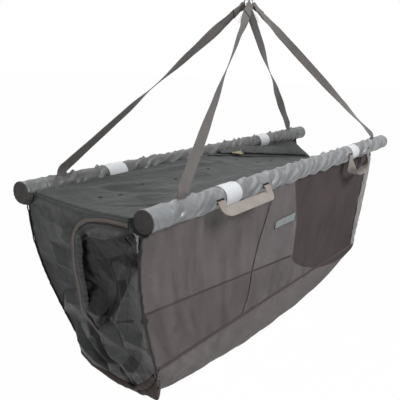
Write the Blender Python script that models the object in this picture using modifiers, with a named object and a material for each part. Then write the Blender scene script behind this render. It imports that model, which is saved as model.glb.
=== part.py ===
"""Weigh sling: two floating poles, a zipped mesh trough and four webbing straps on two rings.

Run with: blender --background --python part.py
Units are metres, +Z is up and +X runs along the poles. The origin is the hook's contact point
inside the tops of the two rings, from which everything hangs.
"""

from math import acos, atan2, cos, pi, radians, sin, sqrt, tan

import bmesh
import bpy
import numpy as np
from mathutils import Vector

# Poles, floats and their fabric sleeves
POLE_LENGTH = 1.200
POLE_SPACING = 0.2838
HANG_HEIGHT = 0.3833
POLE_RADIUS = 0.0110
POLE_WALL = 0.0015
FLOAT_WALL = 0.0049
PLUG_LENGTH = 0.018
CUFF_LENGTH = 0.055
CUFF_SEAM_RISE = 0.0007
CUFF_SEAM_WIDTH = 0.004
DISC_THICKNESS = 0.0012
SLEEVE_GATHER = 0.0011
BAND_WIDTH = 0.056
BAND_THICKNESS = 0.0008

# Cloth, webbing and the gap that touching pieces keep
CLOTH = 0.0012
WEBBING_WIDTH = 0.024
WEBBING = 0.0015
FIT = 0.0003
SEAM_GAP = 0.0004
CUT_OVERRUN = 0.010

# Rings and hanging straps
RING_RADIUS = 0.0115
RING_WIRE = 0.0016
HOOK_SHIFT_X = -0.0153
HOOK_SHIFT_Y = 0.0270
STRAP_TAIL = 0.040
RING_LOOP_WIDTH = 0.014
RING_LOOP_EASE = 0.0009
STRAP_TAPER = 0.050
BASE_BEND = 0.0145
WRAP_TURN = 0.0030

# Carry handles
HANDLE_LAID_DEPTH = 0.030
HANDLE_HUNG_DEPTH = 0.062
HANDLE_CORNER = 0.0135
HANDLE_LUG = 0.0022

# Bag: depths below the poles' centres, lengths along the poles
BAG_LEFT_TOP = 0.604
BAG_LEFT_BOTTOM = 0.487
BAG_LEFT_BULGE = 0.0205
BAG_RIGHT_TOP = 0.503
BAG_RIGHT_BULGE = 0.036
BAG_REAR_SHIFT = 0.020
FLOOR_WIDTH = 0.216
SEAM_FRONT_LEFT = 0.310
SEAM_FRONT_RIGHT = 0.342
SEAM_REAR_LEFT = 0.336
SEAM_REAR_RIGHT = 0.439
FLOOR_LEFT = 0.394
FLOOR_RIGHT = 0.447
FLOOR_BELLY = 0.050
END_BOTTOM_DEPTH = 0.394

# Lid, rear flap and their zip
LID_RISE = 0.002
LID_SAG_LEFT = 0.006
LID_SAG_RIGHT = 0.024
ZIP_BREAK = 0.050
ZIP_END_Y = 0.057
ZIP_END_DROP = 0.070
VENT_RADIUS = 0.0035
PLACKET_WIDTH = 0.014
PLACKET_START = 0.0055
PLACKET_LIFT = 0.0025
PLACKET_SCALLOP = 0.0012

# The lid's zip coil, slider and cloth tab
COIL_WIDTH = 0.0050
COIL_HEIGHT = 0.0016
COIL_SETBACK = 0.0015
SLIDER_LENGTH = 0.012
SLIDER_WIDTH = 0.009
SLIDER_HEIGHT = 0.0032
SLIDER_EDGE = 0.0008
SLIDER_EASE = 0.0007
TAB_LENGTH = 0.040
TAB_WIDTH = 0.015

# Trim on the front mesh
LABEL_WIDTH = 0.108
LABEL_HEIGHT = 0.020
LABEL_X = -0.064
LABEL_DEPTH = 0.119
TRIM_THICKNESS = 0.0008

# How many stretches a sleeve and the lid are drawn in, and how many gathers the zip's placket has
SLEEVE_STEPS = 30
LID_STEPS = (18, 8)
PLACKET_GATHERS = 12

# Places along the poles, as shares of half their length
STRAP_SHARE = 0.8367
BAND_SHARES = {"left": -0.600, "right": 0.508}
HANDLE_SHARES = {
    "front_left": (-0.683, -0.392),
    "front_right": (0.437, 0.683),
    "back_left": (-0.728, -0.530),
    "back_right": (0.585, 0.770),
}
# Vent holes, as shares of half a pole's length and of half the spacing
VENT_SHARES = ((-0.883, 0.155), (-0.817, 0.056), (-0.670, 0.226), (-0.510, 0.141),
               (-0.272, 0.226), (0.023, 0.430), (0.080, 0.092), (0.237, 0.169))
# Turn of each hanging strap in degrees, at shares of its way from ring to pole
STRAP_TURNS = {
    "back_left": ((0.00, 0), (0.20, 20), (0.36, -5), (0.56, -41), (0.70, -15), (0.85, -9), (1.0, 0)),
    "front_left": ((0.00, 0), (0.24, -31), (0.42, -52), (0.61, -23), (0.78, -4), (1.0, 0)),
    "back_right": ((0.00, 0), (0.26, -3), (0.50, -49), (0.66, -5), (0.77, 10), (0.90, -7), (1.0, 0)),
    "front_right": ((0.00, 0), (0.22, 21), (0.34, 29), (0.52, 26), (0.72, 3), (0.88, -21), (1.0, 0)),
}
# Where the placket starts and ends along the rear zip, and the coil and its slider along the lid
PLACKET_SHARES = (0.12, 0.985)
LID_ZIP_SHARES = (0.50, 0.985)
SLIDER_SHARE = 0.60
# The end door's zip, as shares of half the spacing and of the left end's depth
DOOR_SHARES = ((-0.740, 0.022), (-0.507, 0.026), (-0.330, 0.034), (-0.127, 0.052), (0.042, 0.086),
               (0.162, 0.139), (0.240, 0.197), (0.310, 0.291), (0.360, 0.416), (0.395, 0.514),
               (0.423, 0.606), (0.352, 0.634), (0.240, 0.697), (0.085, 0.806), (-0.070, 0.866),
               (-0.200, 0.938))
DOOR_FOLD_SHARES = ((-0.790, 0.050), (-0.255, 0.940))

# Sizes that follow from the ones above
RING_SPREAD = RING_WIRE * 1.45 + FIT
HALF_LENGTH = POLE_LENGTH / 2
HALF_SPACING = POLE_SPACING / 2
FLOAT_RADIUS = POLE_RADIUS + FIT + FLOAT_WALL
WRAP_RADIUS = FLOAT_RADIUS + 2 * FIT + WEBBING / 2
SLEEVE_INNER = WRAP_RADIUS + WEBBING / 2 + FIT + FIT / 2
SLEEVE_RADIUS = SLEEVE_INNER + CLOTH
BAND_RADIUS = SLEEVE_RADIUS + FIT + BAND_THICKNESS
TUBE_CLEAR = BAND_RADIUS + FIT
HEM = TUBE_CLEAR
HINGE_RADIUS = SLEEVE_RADIUS + HANDLE_LUG
LID_EDGE = HALF_SPACING - TUBE_CLEAR - CLOTH / 2
HALF_FLOOR = FLOOR_WIDTH / 2
PANEL_GAP = CLOTH + 2 * SEAM_GAP
X_AXIS = np.array((1.0, 0.0, 0.0))
Y_AXIS = np.array((0.0, 1.0, 0.0))
Z_AXIS = np.array((0.0, 0.0, 1.0))


def unit(vector):
    return np.asarray(vector, float) / np.linalg.norm(vector)


def mix(start, end, share):
    return start + (end - start) * share


def ease(share):
    share = min(1.0, max(0.0, share))
    return share * share * (3 - 2 * share)


def follow(table, share):
    """Smooth curve through (share, value) pairs."""
    for (at, value), (next_at, next_value) in zip(table, table[1:]):
        if share <= next_at:
            return mix(value, next_value, ease((share - at) / (next_at - at)))
    return table[-1][1]


# Scene and materials

def clear_scene():
    for obj in list(bpy.data.objects):
        bpy.data.objects.remove(obj, do_unlink=True)


def new_collection(name):
    collection = bpy.data.collections.new(name)
    bpy.context.scene.collection.children.link(collection)
    return collection


def make_material(name, colour, roughness, metallic=0.0):
    material = bpy.data.materials.new(name)
    material.use_nodes = True
    shader = material.node_tree.nodes["Principled BSDF"]
    shader.inputs["Base Color"].default_value = (*colour, 1.0)
    shader.inputs["Roughness"].default_value = roughness
    shader.inputs["Metallic"].default_value = metallic
    return material


def make_materials():
    """Colours in linear light, read from the photo."""
    return {
        "sleeve_fabric": make_material("sleeve_fabric", (0.165, 0.170, 0.165), 0.55),
        "cuff_fabric": make_material("cuff_fabric", (0.115, 0.120, 0.115), 0.60),
        "disc_fabric": make_material("disc_fabric", (0.045, 0.040, 0.038), 0.80),
        "lid_fabric": make_material("lid_fabric", (0.100, 0.100, 0.100), 0.70),
        "end_fabric": make_material("end_fabric", (0.095, 0.092, 0.095), 0.70),
        "wall_mesh": make_material("wall_mesh", (0.110, 0.095, 0.090), 0.85),
        "floor_mesh": make_material("floor_mesh", (0.085, 0.070, 0.062), 0.85),
        "strap_webbing": make_material("strap_webbing", (0.150, 0.135, 0.130), 0.75),
        "handle_webbing": make_material("handle_webbing", (0.140, 0.120, 0.110), 0.75),
        "band_reflective": make_material("band_reflective", (0.740, 0.760, 0.770), 0.35),
        "label_woven": make_material("label_woven", (0.200, 0.230, 0.220), 0.65),
        "ring_steel": make_material("ring_steel", (0.400, 0.400, 0.400), 0.30, 1.0),
        "pole_tube": make_material("pole_tube", (0.560, 0.570, 0.580), 0.40, 1.0),
        "float_foam": make_material("float_foam", (0.050, 0.050, 0.050), 0.90),
        "zip_coil": make_material("zip_coil", (0.030, 0.026, 0.024), 0.50),
        "zip_metal": make_material("zip_metal", (0.100, 0.095, 0.090), 0.40, 1.0),
        "tab_tan": make_material("tab_tan", (0.190, 0.170, 0.115), 0.75),
        "plug_plastic": make_material("plug_plastic", (0.020, 0.020, 0.020), 0.50),
    }


class Workshop:
    """The collections, the frame that everything hangs in, and the materials."""

    def __init__(self):
        clear_scene()
        self.parts = new_collection("weigh_sling")
        self.cutters = new_collection("cutters")
        self.materials = make_materials()
        self.frame = self.empty("pole_frame", (-HOOK_SHIFT_X, -HOOK_SHIFT_Y, -HANG_HEIGHT), None)

    def empty(self, name, location, parent):
        obj = bpy.data.objects.new(name, None)
        self.parts.objects.link(obj)
        obj.parent = parent
        obj.location = location
        return obj

    def add(self, name, mesh, material, parent=None, location=(0, 0, 0)):
        obj = bpy.data.objects.new(name, mesh)
        self.parts.objects.link(obj)
        obj.parent = parent or self.frame
        obj.location = location
        mesh.materials.append(self.materials[material])
        return obj

    def add_cutter(self, name, mesh, location=(0, 0, 0)):
        obj = bpy.data.objects.new(name, mesh)
        self.cutters.objects.link(obj)
        obj.parent = self.frame
        obj.location = location
        obj.hide_render = True
        obj.display_type = "WIRE"
        return obj


# Mesh makers

def finish_mesh(bm, name, smooth_angle=None):
    mesh = bpy.data.meshes.new(name)
    bm.to_mesh(mesh)
    bm.free()
    if smooth_angle:
        mesh.shade_smooth()
        mesh.set_sharp_from_angle(angle=radians(smooth_angle))
    return mesh


def grid_mesh(name, rows, closed=False, about=(0, 0, 0)):
    """Sheet whose rows of points are given; a closed one joins its last point to its first."""
    count, width = len(rows), len(rows[0])
    bm = bmesh.new()
    bmesh.ops.create_grid(bm, x_segments=count - 1, y_segments=width - 1, size=0.5)
    for vertex in bm.verts:
        row = round((vertex.co.x + 0.5) * (count - 1))
        column = round((vertex.co.y + 0.5) * (width - 1))
        vertex.co = Vector(rows[row][column]) - Vector(about)
    if closed:
        bmesh.ops.remove_doubles(bm, verts=bm.verts, dist=FIT / 10)
    return finish_mesh(bm, name, 40)


def solidify(obj, thickness, offset=0.0):
    modifier = obj.modifiers.new("cloth thickness", "SOLIDIFY")
    modifier.thickness = thickness
    modifier.offset = offset
    modifier.use_even_offset = True
    return obj


def sheet(shop, name, surface, steps, material, thickness=CLOTH, closed=False, hinge=None):
    """Cloth from a surface function of two shares, thickened evenly to both sides."""
    rows = [[surface(i / steps[0], j / steps[1]) for j in range(steps[1] + 1)]
            for i in range(steps[0] + 1)]
    return strip(shop, name, rows, material, thickness, closed, hinge)


def strip(shop, name, rows, material, thickness, closed=False, hinge=None):
    """Cloth or webbing from rows of points; a hinge gives the empty that it turns with."""
    about = tuple(hinge.location) if hinge else (0, 0, 0)
    obj = shop.add(name, grid_mesh(name, rows, closed, about), material, hinge)
    return solidify(obj, thickness)


def turned(shop, name, profile, material, centre):
    """Tube along X from a closed outline of (radius, along) points, outer side first."""
    bm = bmesh.new()
    points = [bm.verts.new((radius, 0, along)) for radius, along in profile]
    for point, following in zip(points, points[1:] + points[:1]):
        bm.edges.new((point, following))
    obj = shop.add(name, finish_mesh(bm, name), material, None, centre)
    obj.rotation_euler = (0, radians(90), 0)
    screw = obj.modifiers.new("turned", "SCREW")
    screw.angle = radians(360)
    screw.steps = 28
    screw.render_steps = 28
    screw.use_merge_vertices = True
    screw.merge_threshold = 0.00001
    screw.use_smooth_shade = True
    return obj


def cylinder(shop, name, radius, length, material, centre):
    bm = bmesh.new()
    bmesh.ops.create_cone(bm, cap_ends=True, segments=28, radius1=radius, radius2=radius, depth=length)
    obj = shop.add(name, finish_mesh(bm, name, 40), material, None, centre)
    obj.rotation_euler = (0, radians(90), 0)
    return obj


def cut(obj, cutter, operation="DIFFERENCE"):
    obj.modifiers.new("flat faces", "TRIANGULATE")
    modifier = obj.modifiers.new(operation.lower() + " " + cutter.name, "BOOLEAN")
    modifier.operation = operation
    modifier.solver = "EXACT"
    modifier.object = cutter
    return obj


# Where things are, in the frame midway between the two poles' centres

def side_of(name):
    """Signs of a corner's place: along the poles and across them."""
    return (-1 if "left" in name else 1), (-1 if "front" in name else 1)


def tube_centre(name, along=0.0):
    return np.array((along, side_of(name)[1] * HALF_SPACING, 0.0))


def ring_frame(name):
    """Centre of a ring, the way its straps hang, and its own axis."""
    across = side_of(name)[1]
    top = np.array((HOOK_SHIFT_X, HOOK_SHIFT_Y + across * RING_SPREAD, HANG_HEIGHT))
    knee = np.array((HOOK_SHIFT_X, across * HALF_SPACING, SLEEVE_RADIUS))
    hang = unit(knee - top)
    return top + hang * (RING_RADIUS - RING_WIRE), hang, np.cross(X_AXIS, hang)


# Poles, plugs, floats, sleeves, cuffs, discs and bands

def make_pole(shop, side):
    end = HALF_LENGTH - FIT
    bore = POLE_RADIUS - POLE_WALL
    outline = ((POLE_RADIUS, end), (POLE_RADIUS, -end), (bore, -end), (bore, end))
    turned(shop, "pole_" + side, outline, "pole_tube", tube_centre(side))
    for hand, way in (("left", -1), ("right", 1)):
        centre = tube_centre(side, way * (end - PLUG_LENGTH / 2))
        cylinder(shop, f"plug_{side}_{hand}", bore - FIT, PLUG_LENGTH, "plug_plastic", centre)


def make_float(shop, side):
    end = HALF_LENGTH - FIT
    bore = POLE_RADIUS + FIT
    outline = ((FLOAT_RADIUS, end), (FLOAT_RADIUS, -end), (bore, -end), (bore, end))
    turned(shop, "float_" + side, outline, "float_foam", tube_centre(side))


def gather(along, turn, smooth_spots):
    """How far the sleeve's loose cloth stands off at a place, in diagonal gathers."""
    wave = 0.5 + 0.5 * sin(2 * turn + along * 2 * pi / (POLE_SPACING / 3))
    calm = 1.0
    for spot, reach in smooth_spots:
        calm = min(calm, ease((abs(along - spot) - reach - POLE_LENGTH / SLEEVE_STEPS) / WEBBING_WIDTH))
    return SLEEVE_GATHER * wave * calm


def sleeve_spots(side):
    """Centres and half widths of all that lies on a sleeve or comes through it."""
    spots = [(HALF_LENGTH * share, BAND_WIDTH / 2 + FIT) for share in BAND_SHARES.values()]
    for name, pair in HANDLE_SHARES.items():
        if name.startswith(side):
            spots += [(HALF_LENGTH * share, WEBBING_WIDTH / 2 + FIT) for share in pair]
    spots += [(way * STRAP_SHARE * HALF_LENGTH, WEBBING_WIDTH / 2 + FIT) for way in (-1, 1)]
    spots += [(way * (HALF_LENGTH - CUFF_LENGTH), 0.0) for way in (-1, 1)]
    return spots


def make_sleeve(shop, side):
    spots = sleeve_spots(side)
    end = HALF_LENGTH - CUFF_LENGTH - FIT
    middle = SLEEVE_INNER + CLOTH / 2
    centre_y = side_of(side)[1] * HALF_SPACING

    def surface(share, around):
        along, turn = mix(-end, end, share), -2 * pi * around
        radius = middle + gather(along, turn, spots) * (0.5 - 0.5 * cos(turn + pi / 2))
        return along, centre_y + radius * cos(turn), radius * sin(turn)

    sleeve = sheet(shop, "sleeve_" + side, surface, (SLEEVE_STEPS, 16), "sleeve_fabric", closed=True)
    cut(sleeve, slit_cutter(shop, side))


def slit_cutter(shop, side):
    """One cutter for all slits of a sleeve: at the top for straps, outside for handles."""
    bm = bmesh.new()
    long, high, wide = WEBBING_WIDTH + 4 * FIT, SLEEVE_RADIUS, 2 * WRAP_TURN
    across = side_of(side)[1]
    for way in (-1, 1):
        add_box(bm, (long, wide, high), (way * STRAP_SHARE * HALF_LENGTH, 0, SLEEVE_RADIUS))
    for name, pair in HANDLE_SHARES.items():
        if name.startswith(side):
            for share in pair:
                add_box(bm, (long, high, wide), (HALF_LENGTH * share, across * SLEEVE_RADIUS, 0))
    return shop.add_cutter("slits_" + side, finish_mesh(bm, "slits_" + side), tube_centre(side))


def add_box(bm, size, centre):
    made = bmesh.ops.create_cube(bm, size=1)["verts"]
    bmesh.ops.scale(bm, vec=Vector(size), verts=made)
    bmesh.ops.translate(bm, vec=Vector(centre), verts=made)


def make_cuff(shop, side, hand, way):
    """Smooth end cuff with a raised seam where it meets the sleeve."""
    half = CUFF_LENGTH / 2
    seam = SLEEVE_RADIUS + CUFF_SEAM_RISE
    if way > 0:
        ridge = ((SLEEVE_RADIUS, half - FIT), (SLEEVE_RADIUS, CUFF_SEAM_WIDTH - half),
                 (seam, CUFF_SEAM_WIDTH / 2 - half), (SLEEVE_RADIUS, -half))
    else:
        ridge = ((SLEEVE_RADIUS, half), (seam, half - CUFF_SEAM_WIDTH / 2),
                 (SLEEVE_RADIUS, half - CUFF_SEAM_WIDTH), (SLEEVE_RADIUS, FIT - half))
    outline = ridge + ((SLEEVE_INNER, ridge[-1][1]), (SLEEVE_INNER, ridge[0][1]))
    centre = tube_centre(side, way * (HALF_LENGTH - half))
    turned(shop, f"cuff_{side}_{hand}", outline, "cuff_fabric", centre)
    centre = tube_centre(side, way * (HALF_LENGTH + DISC_THICKNESS / 2))
    cylinder(shop, f"disc_{side}_{hand}", SLEEVE_RADIUS, DISC_THICKNESS, "disc_fabric", centre)


def make_band(shop, side, hand):
    half = BAND_WIDTH / 2
    bore = SLEEVE_RADIUS + FIT
    outline = ((BAND_RADIUS, half), (BAND_RADIUS, -half), (bore, -half), (bore, half))
    centre = tube_centre(side, HALF_LENGTH * BAND_SHARES[hand])
    turned(shop, f"band_{side}_{hand}", outline, "band_reflective", centre)


# Webbing

def wrap_rows(along, side, exit_way, reach, columns=3):
    """Webbing that leaves a float at exit_way, from its end out there to its tail round the float.

    reach is how far beyond the float's wrap the webbing starts, before its turn onto the wrap.
    """
    centre = tube_centre(side, along)
    out = np.asarray(exit_way, float)
    aside = np.cross(X_AXIS, out)
    seat = sqrt(WRAP_RADIUS ** 2 - WRAP_TURN ** 2)
    path = [(seat + WRAP_TURN + reach, 0.0)] if reach > 0 else []
    for step in range(4):
        turn = radians(90) * step / 3
        path.append((seat + WRAP_TURN * (1 - sin(turn)), WRAP_TURN * (1 - cos(turn))))
    start = atan2(WRAP_TURN, WRAP_RADIUS) * 1.25
    for step in range(1, 17):
        turn = mix(start, 2 * pi - start, step / 16)
        path.append((WRAP_RADIUS * cos(turn), WRAP_RADIUS * sin(turn)))
    rows = []
    for outward, sideways in path:
        middle = centre + out * outward + aside * sideways
        rows.append([middle + X_AXIS * WEBBING_WIDTH * (j / (columns - 1) - 0.5) for j in range(columns)])
    return rows


def ring_rows(centre, way, tangent, axis):
    """Rows of a strap from its sewn tail, round the ring's wire, to where the taper ends."""
    wrap = RING_WIRE + RING_LOOP_EASE + WEBBING / 2
    laid = (WEBBING + FIT) / 2
    path = [(RING_RADIUS + STRAP_TAIL, laid), (RING_RADIUS + STRAP_TAIL / 2, laid),
            (RING_RADIUS + 2 * wrap, (laid + wrap) / 2)]
    for step in range(9):
        turn = radians(70) + radians(220) * step / 8
        path.append((RING_RADIUS + wrap * cos(turn), wrap * sin(turn)))
    path += [(RING_RADIUS + 2 * wrap, -(laid + wrap) / 2), (RING_RADIUS + STRAP_TAIL / 2, -laid),
             (RING_RADIUS + STRAP_TAIL, -laid)]
    return [ring_row(centre, way, tangent, axis, radius, aside) for radius, aside in path]


def ring_row(centre, way, tangent, axis, radius, aside):
    """Three points across a strap near its ring, curved along the ring's wire at first."""
    free = ease((radius - RING_RADIUS) / STRAP_TAPER)
    half = mix(RING_LOOP_WIDTH, WEBBING_WIDTH, free) / 2
    row = []
    for side in (-1, 0, 1):
        bend = side * half / RING_RADIUS
        curved = centre + radius * (cos(bend) * way + sin(bend) * tangent)
        straight = centre + radius * way + side * half * tangent
        row.append(mix(curved, straight, ease(4 * free)) + aside * axis)
    return row


def make_strap(shop, name):
    """Webbing from the ring, turning on its way, through the sleeve's slit and round the float."""
    hand, across = side_of(name)
    centre, _, axis = ring_frame(name)
    foot = tube_centre(name, hand * STRAP_SHARE * HALF_LENGTH)
    upright = WRAP_RADIUS + WRAP_TURN
    knee = foot + Z_AXIS * upright
    for _ in range(4):
        way = unit(knee - centre)
        lean = acos(-way[2])
        knee = foot + Z_AXIS * (upright + BASE_BEND * tan(lean / 2))
    tangent = unit(X_AXIS - way[0] * way)
    normal = np.cross(way, tangent)
    rows = ring_rows(centre, way, tangent, axis * (1 if np.dot(axis, normal) > 0 else -1))
    start = RING_RADIUS + STRAP_TAPER + STRAP_TAIL / 4
    length = np.linalg.norm(knee - centre) - BASE_BEND * tan(lean / 2)
    for step in range(17):
        far = mix(start, length, step / 16)
        turn = radians(follow(STRAP_TURNS[name], far / length)) * ease((far - start) / STRAP_TAPER)
        across_way = cos(turn) * tangent + sin(turn) * normal
        rows.append([centre + way * far + across_way * side * WEBBING_WIDTH / 2 for side in (-1, 0, 1)])
    bend_centre = bend_pivot(knee, way, lean)
    for step in range(1, 5):
        turned_way, middle = bend_step(bend_centre, way, lean * step / 4)
        side_way = unit(X_AXIS - turned_way[0] * turned_way)
        rows.append([middle + side_way * side * WEBBING_WIDTH / 2 for side in (-1, 0, 1)])
    rows += wrap_rows(foot[0], name, Z_AXIS, 0.0)[1:]
    strip(shop, "strap_" + name, rows, "strap_webbing", WEBBING)


def bend_pivot(knee, way, lean):
    """Centre of the arc that brings a strap from its own way to straight down."""
    level = unit(-Z_AXIS - way * np.dot(-Z_AXIS, way))
    return knee - way * BASE_BEND * tan(lean / 2) + level * BASE_BEND


def bend_step(pivot, way, turn):
    level = unit(-Z_AXIS - way * np.dot(-Z_AXIS, way))
    return cos(turn) * way + sin(turn) * level, pivot + BASE_BEND * (sin(turn) * way - cos(turn) * level)


def make_ring(shop, side):
    centre, hang, axis = ring_frame(side)
    bpy.ops.mesh.primitive_torus_add(major_segments=30, minor_segments=8,
                                     major_radius=RING_RADIUS, minor_radius=RING_WIRE)
    obj = bpy.context.object
    obj.name = obj.data.name = "ring_" + side
    for collection in list(obj.users_collection):
        collection.objects.unlink(obj)
    shop.parts.objects.link(obj)
    obj.parent = shop.frame
    obj.location = centre
    obj.rotation_mode = "QUATERNION"
    obj.rotation_quaternion = Vector(axis).to_track_quat("Z", "X")
    obj.data.shade_smooth()
    obj.data.materials.append(shop.materials["ring_steel"])


def make_handle_loops(shop, side):
    """The handles' ends: webbing round the float that comes out of the sleeve's outer side."""
    across = side_of(side)[1]
    for name, pair in HANDLE_SHARES.items():
        if name.startswith(side):
            for hand, share in zip(("inner", "outer"), pair):
                lug = HINGE_RADIUS - WEBBING / 2 - FIT - FIT / 2 - WRAP_RADIUS - WRAP_TURN
                rows = wrap_rows(HALF_LENGTH * share, side, across * Y_AXIS, lug, columns=2)
                strip(shop, f"loop_{name}_{hand}", rows, "handle_webbing", WEBBING)


def handle_hinge(shop, name):
    pair = [HALF_LENGTH * share for share in HANDLE_SHARES[name]]
    across = side_of(name)[1]
    place = (sum(pair) / 2, across * (HALF_SPACING + HINGE_RADIUS), 0)
    return shop.empty("handle_pivot_" + name, place, shop.frame)


def make_laid_handle(shop, name, lean):
    """Flat webbing folded at two corners, standing out from the pole at a lean."""
    hinge = handle_hinge(shop, name)
    half_span = abs(HANDLE_SHARES[name][1] - HANDLE_SHARES[name][0]) * HALF_LENGTH / 2
    down = -Z_AXIS * cos(lean) + side_of(name)[1] * Y_AXIS * sin(lean)
    flat = HANDLE_LAID_DEPTH - HANDLE_CORNER
    path = [((-half_span, 0.0), (0, 1)), ((-half_span, flat), (0, 1))]
    for step in range(1, 7):
        turn = radians(90) * step / 6
        place = (-half_span + HANDLE_CORNER * (1 - cos(turn)), flat + HANDLE_CORNER * sin(turn))
        path.append((place, (sin(turn), cos(turn))))
    for share in (-0.5, 0.0):
        path.append(((share * (half_span - HANDLE_CORNER), HANDLE_LAID_DEPTH), (1, 0)))
    mirrored = [((-place[0], place[1]), (way[0], -way[1])) for place, way in reversed(path[:-1])]
    rows = []
    for (along, drop), (way_x, way_down) in path + mirrored:
        middle = np.array(hinge.location) + X_AXIS * along + down * drop
        side_way = X_AXIS * way_down - down * way_x
        rows.append([middle + side_way * side * WEBBING_WIDTH / 2 for side in (-1, 0, 1)])
    strip(shop, "handle_" + name, rows, "handle_webbing", WEBBING, hinge=hinge)


def make_hung_handle(shop, name):
    """Webbing hanging in a loop, which turns a quarter on its way down and back on its way up."""
    hinge = handle_hinge(shop, name)
    half_span = abs(HANDLE_SHARES[name][1] - HANDLE_SHARES[name][0]) * HALF_LENGTH / 2
    out = side_of(name)[1] * Y_AXIS

    def middle(share):
        sideways = -half_span * cos(pi * share)
        down = HANDLE_HUNG_DEPTH * sin(pi * share) ** 0.8
        return np.array(hinge.location) + X_AXIS * sideways - Z_AXIS * down

    rows = []
    for step in range(25):
        share = step / 24
        way = unit(middle(min(1, share + 0.01)) - middle(max(0, share - 0.01)))
        turn = radians(90) * ease(min(share, 1 - share) / 0.4)
        aim = X_AXIS * cos(turn) * (1 if share < 0.5 else -1) + out * sin(turn)
        side_way = unit(aim - np.dot(aim, way) * way)
        rows.append([middle(share) + side_way * side * WEBBING_WIDTH / 2 for side in (-1, 0, 1)])
    strip(shop, "handle_" + name, rows, "handle_webbing", WEBBING, hinge=hinge)


# Bag surfaces: depth is measured down from the poles' centres

def half_width(depth):
    """Half the bag's width: as wide as the poles at the hem, narrowing to the floor's seams."""
    return mix(HALF_SPACING, HALF_FLOOR, min(1.0, max(0.0, (depth - HEM) / (SEAM_FRONT_LEFT - HEM))))


def rear_shift(across):
    return BAG_REAR_SHIFT * (across + HALF_SPACING) / POLE_SPACING


def left_chord(depth):
    share = (depth - HEM) / (END_BOTTOM_DEPTH - HEM)
    return -mix(BAG_LEFT_TOP, BAG_LEFT_BOTTOM, share)


def left_bulge(depth):
    share = min(1.0, max(0.0, (depth - HEM) / (END_BOTTOM_DEPTH - HEM)))
    return BAG_LEFT_BULGE * 6.75 * share * (1 - share) ** 2


def right_edge(depth):
    share = min(1.0, max(0.0, (depth - HEM) / (FLOOR_RIGHT - HEM)))
    return BAG_RIGHT_TOP + BAG_RIGHT_BULGE * sin(pi * share * 0.88) ** 0.6


def bag_point(share, across, depth):
    """Point of a long panel at a share of the way from the left end to the right end."""
    left = left_end_x(across, depth) + PANEL_GAP
    right = right_end_x(across, depth) - PANEL_GAP
    return np.array((mix(left, right, share), across, -depth))


def seam_depth(share, rear):
    if rear:
        return mix(SEAM_REAR_LEFT, SEAM_REAR_RIGHT, share)
    return mix(SEAM_FRONT_LEFT, SEAM_FRONT_RIGHT, share)


def make_wall(shop, side):
    rear = side == "back"

    def surface(share, down):
        depth = mix(HEM, seam_depth(share, rear) - SEAM_GAP / 2, down)
        across = side_of(side)[1] * half_width(depth)
        return bag_point(share, across, depth)

    sheet(shop, "wall_" + side, surface, (18, 8), "wall_mesh")


def floor_depth(share, over):
    """Depth of the floor's trough at shares of its length and of its width."""
    lowest = mix(FLOOR_LEFT, FLOOR_RIGHT, share) + FLOOR_BELLY * (4 * share * (1 - share)) ** 0.8
    level = mix(seam_depth(share, False), seam_depth(share, True), over)
    belly = lowest - mix(seam_depth(share, False), seam_depth(share, True), 0.5)
    return level + SEAM_GAP / 2 + belly * (4 * over * (1 - over)) ** 0.65


def make_floor(shop):
    def surface(share, over):
        return bag_point(share, mix(-HALF_FLOOR, HALF_FLOOR, over), floor_depth(share, over))

    sheet(shop, "floor_mesh", surface, (18, 14), "floor_mesh")


# Lid, rear flap and the line of their zip

def zip_line(along):
    """Across and height of the lid's rear zip at a place along the poles."""
    run = BAG_RIGHT_TOP + ZIP_BREAK
    share = (along + ZIP_BREAK) / run
    start = LID_EDGE - CLOTH * 3
    across = min(LID_EDGE, mix(start, ZIP_END_Y, share))
    return across, LID_RISE - ZIP_END_DROP * max(0.0, share)


def lid_height(along, share):
    """Height of the lid at a share of its way from the front pole to the zip."""
    reach = (along + HALF_LENGTH) / (BAG_RIGHT_TOP + HALF_LENGTH)
    sag = mix(LID_SAG_LEFT, LID_SAG_RIGHT, reach ** 2)
    return mix(LID_RISE, zip_line(along)[1], share) - sag * 4 * share * (1 - share)


def lid_left(across):
    return left_chord(HEM) + rear_shift(across)


def lid_surface(share, over):
    right = BAG_RIGHT_TOP - PANEL_GAP
    edge = zip_line(mix(-HALF_LENGTH, right, share))[0] - SEAM_GAP / 2
    across = mix(-LID_EDGE, edge, over)
    along = mix(lid_left(across) - CLOTH / 2, right + rear_shift(across), share)
    return along, across, lid_height(mix(-HALF_LENGTH, right, share), over)


def make_lid(shop):
    hinge = shop.empty("lid_pivot", (0, -LID_EDGE, LID_RISE), shop.frame)
    lid = sheet(shop, "lid_panel", lid_surface, LID_STEPS, "lid_fabric", hinge=hinge)
    bm = bmesh.new()
    for along, across in VENT_SHARES:
        made = bmesh.ops.create_cone(bm, cap_ends=True, segments=12, radius1=VENT_RADIUS,
                                     radius2=VENT_RADIUS, depth=SLEEVE_RADIUS * 4)["verts"]
        bmesh.ops.translate(bm, vec=Vector((along * HALF_LENGTH, across * HALF_SPACING, 0)), verts=made)
    cut(lid, shop.add_cutter("vents", finish_mesh(bm, "vents")))
    return hinge


def flap_surface(share, over):
    """Rear flap from the zip line out to the back pole's inner side."""
    along = mix(-ZIP_BREAK, BAG_RIGHT_TOP - PANEL_GAP, share)
    across, height = zip_line(along)
    turn = radians(mix(4, 50, share))
    reach = TUBE_CLEAR + CLOTH / 2
    seat_y, seat_z = HALF_SPACING - reach * cos(turn), -reach * sin(turn)
    start = across + SEAM_GAP / 2
    return along + rear_shift(across), mix(start, seat_y, over), mix(height, seat_z, over)


def make_flap(shop):
    sheet(shop, "rear_flap", flap_surface, (16, 4), "lid_fabric")


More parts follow.
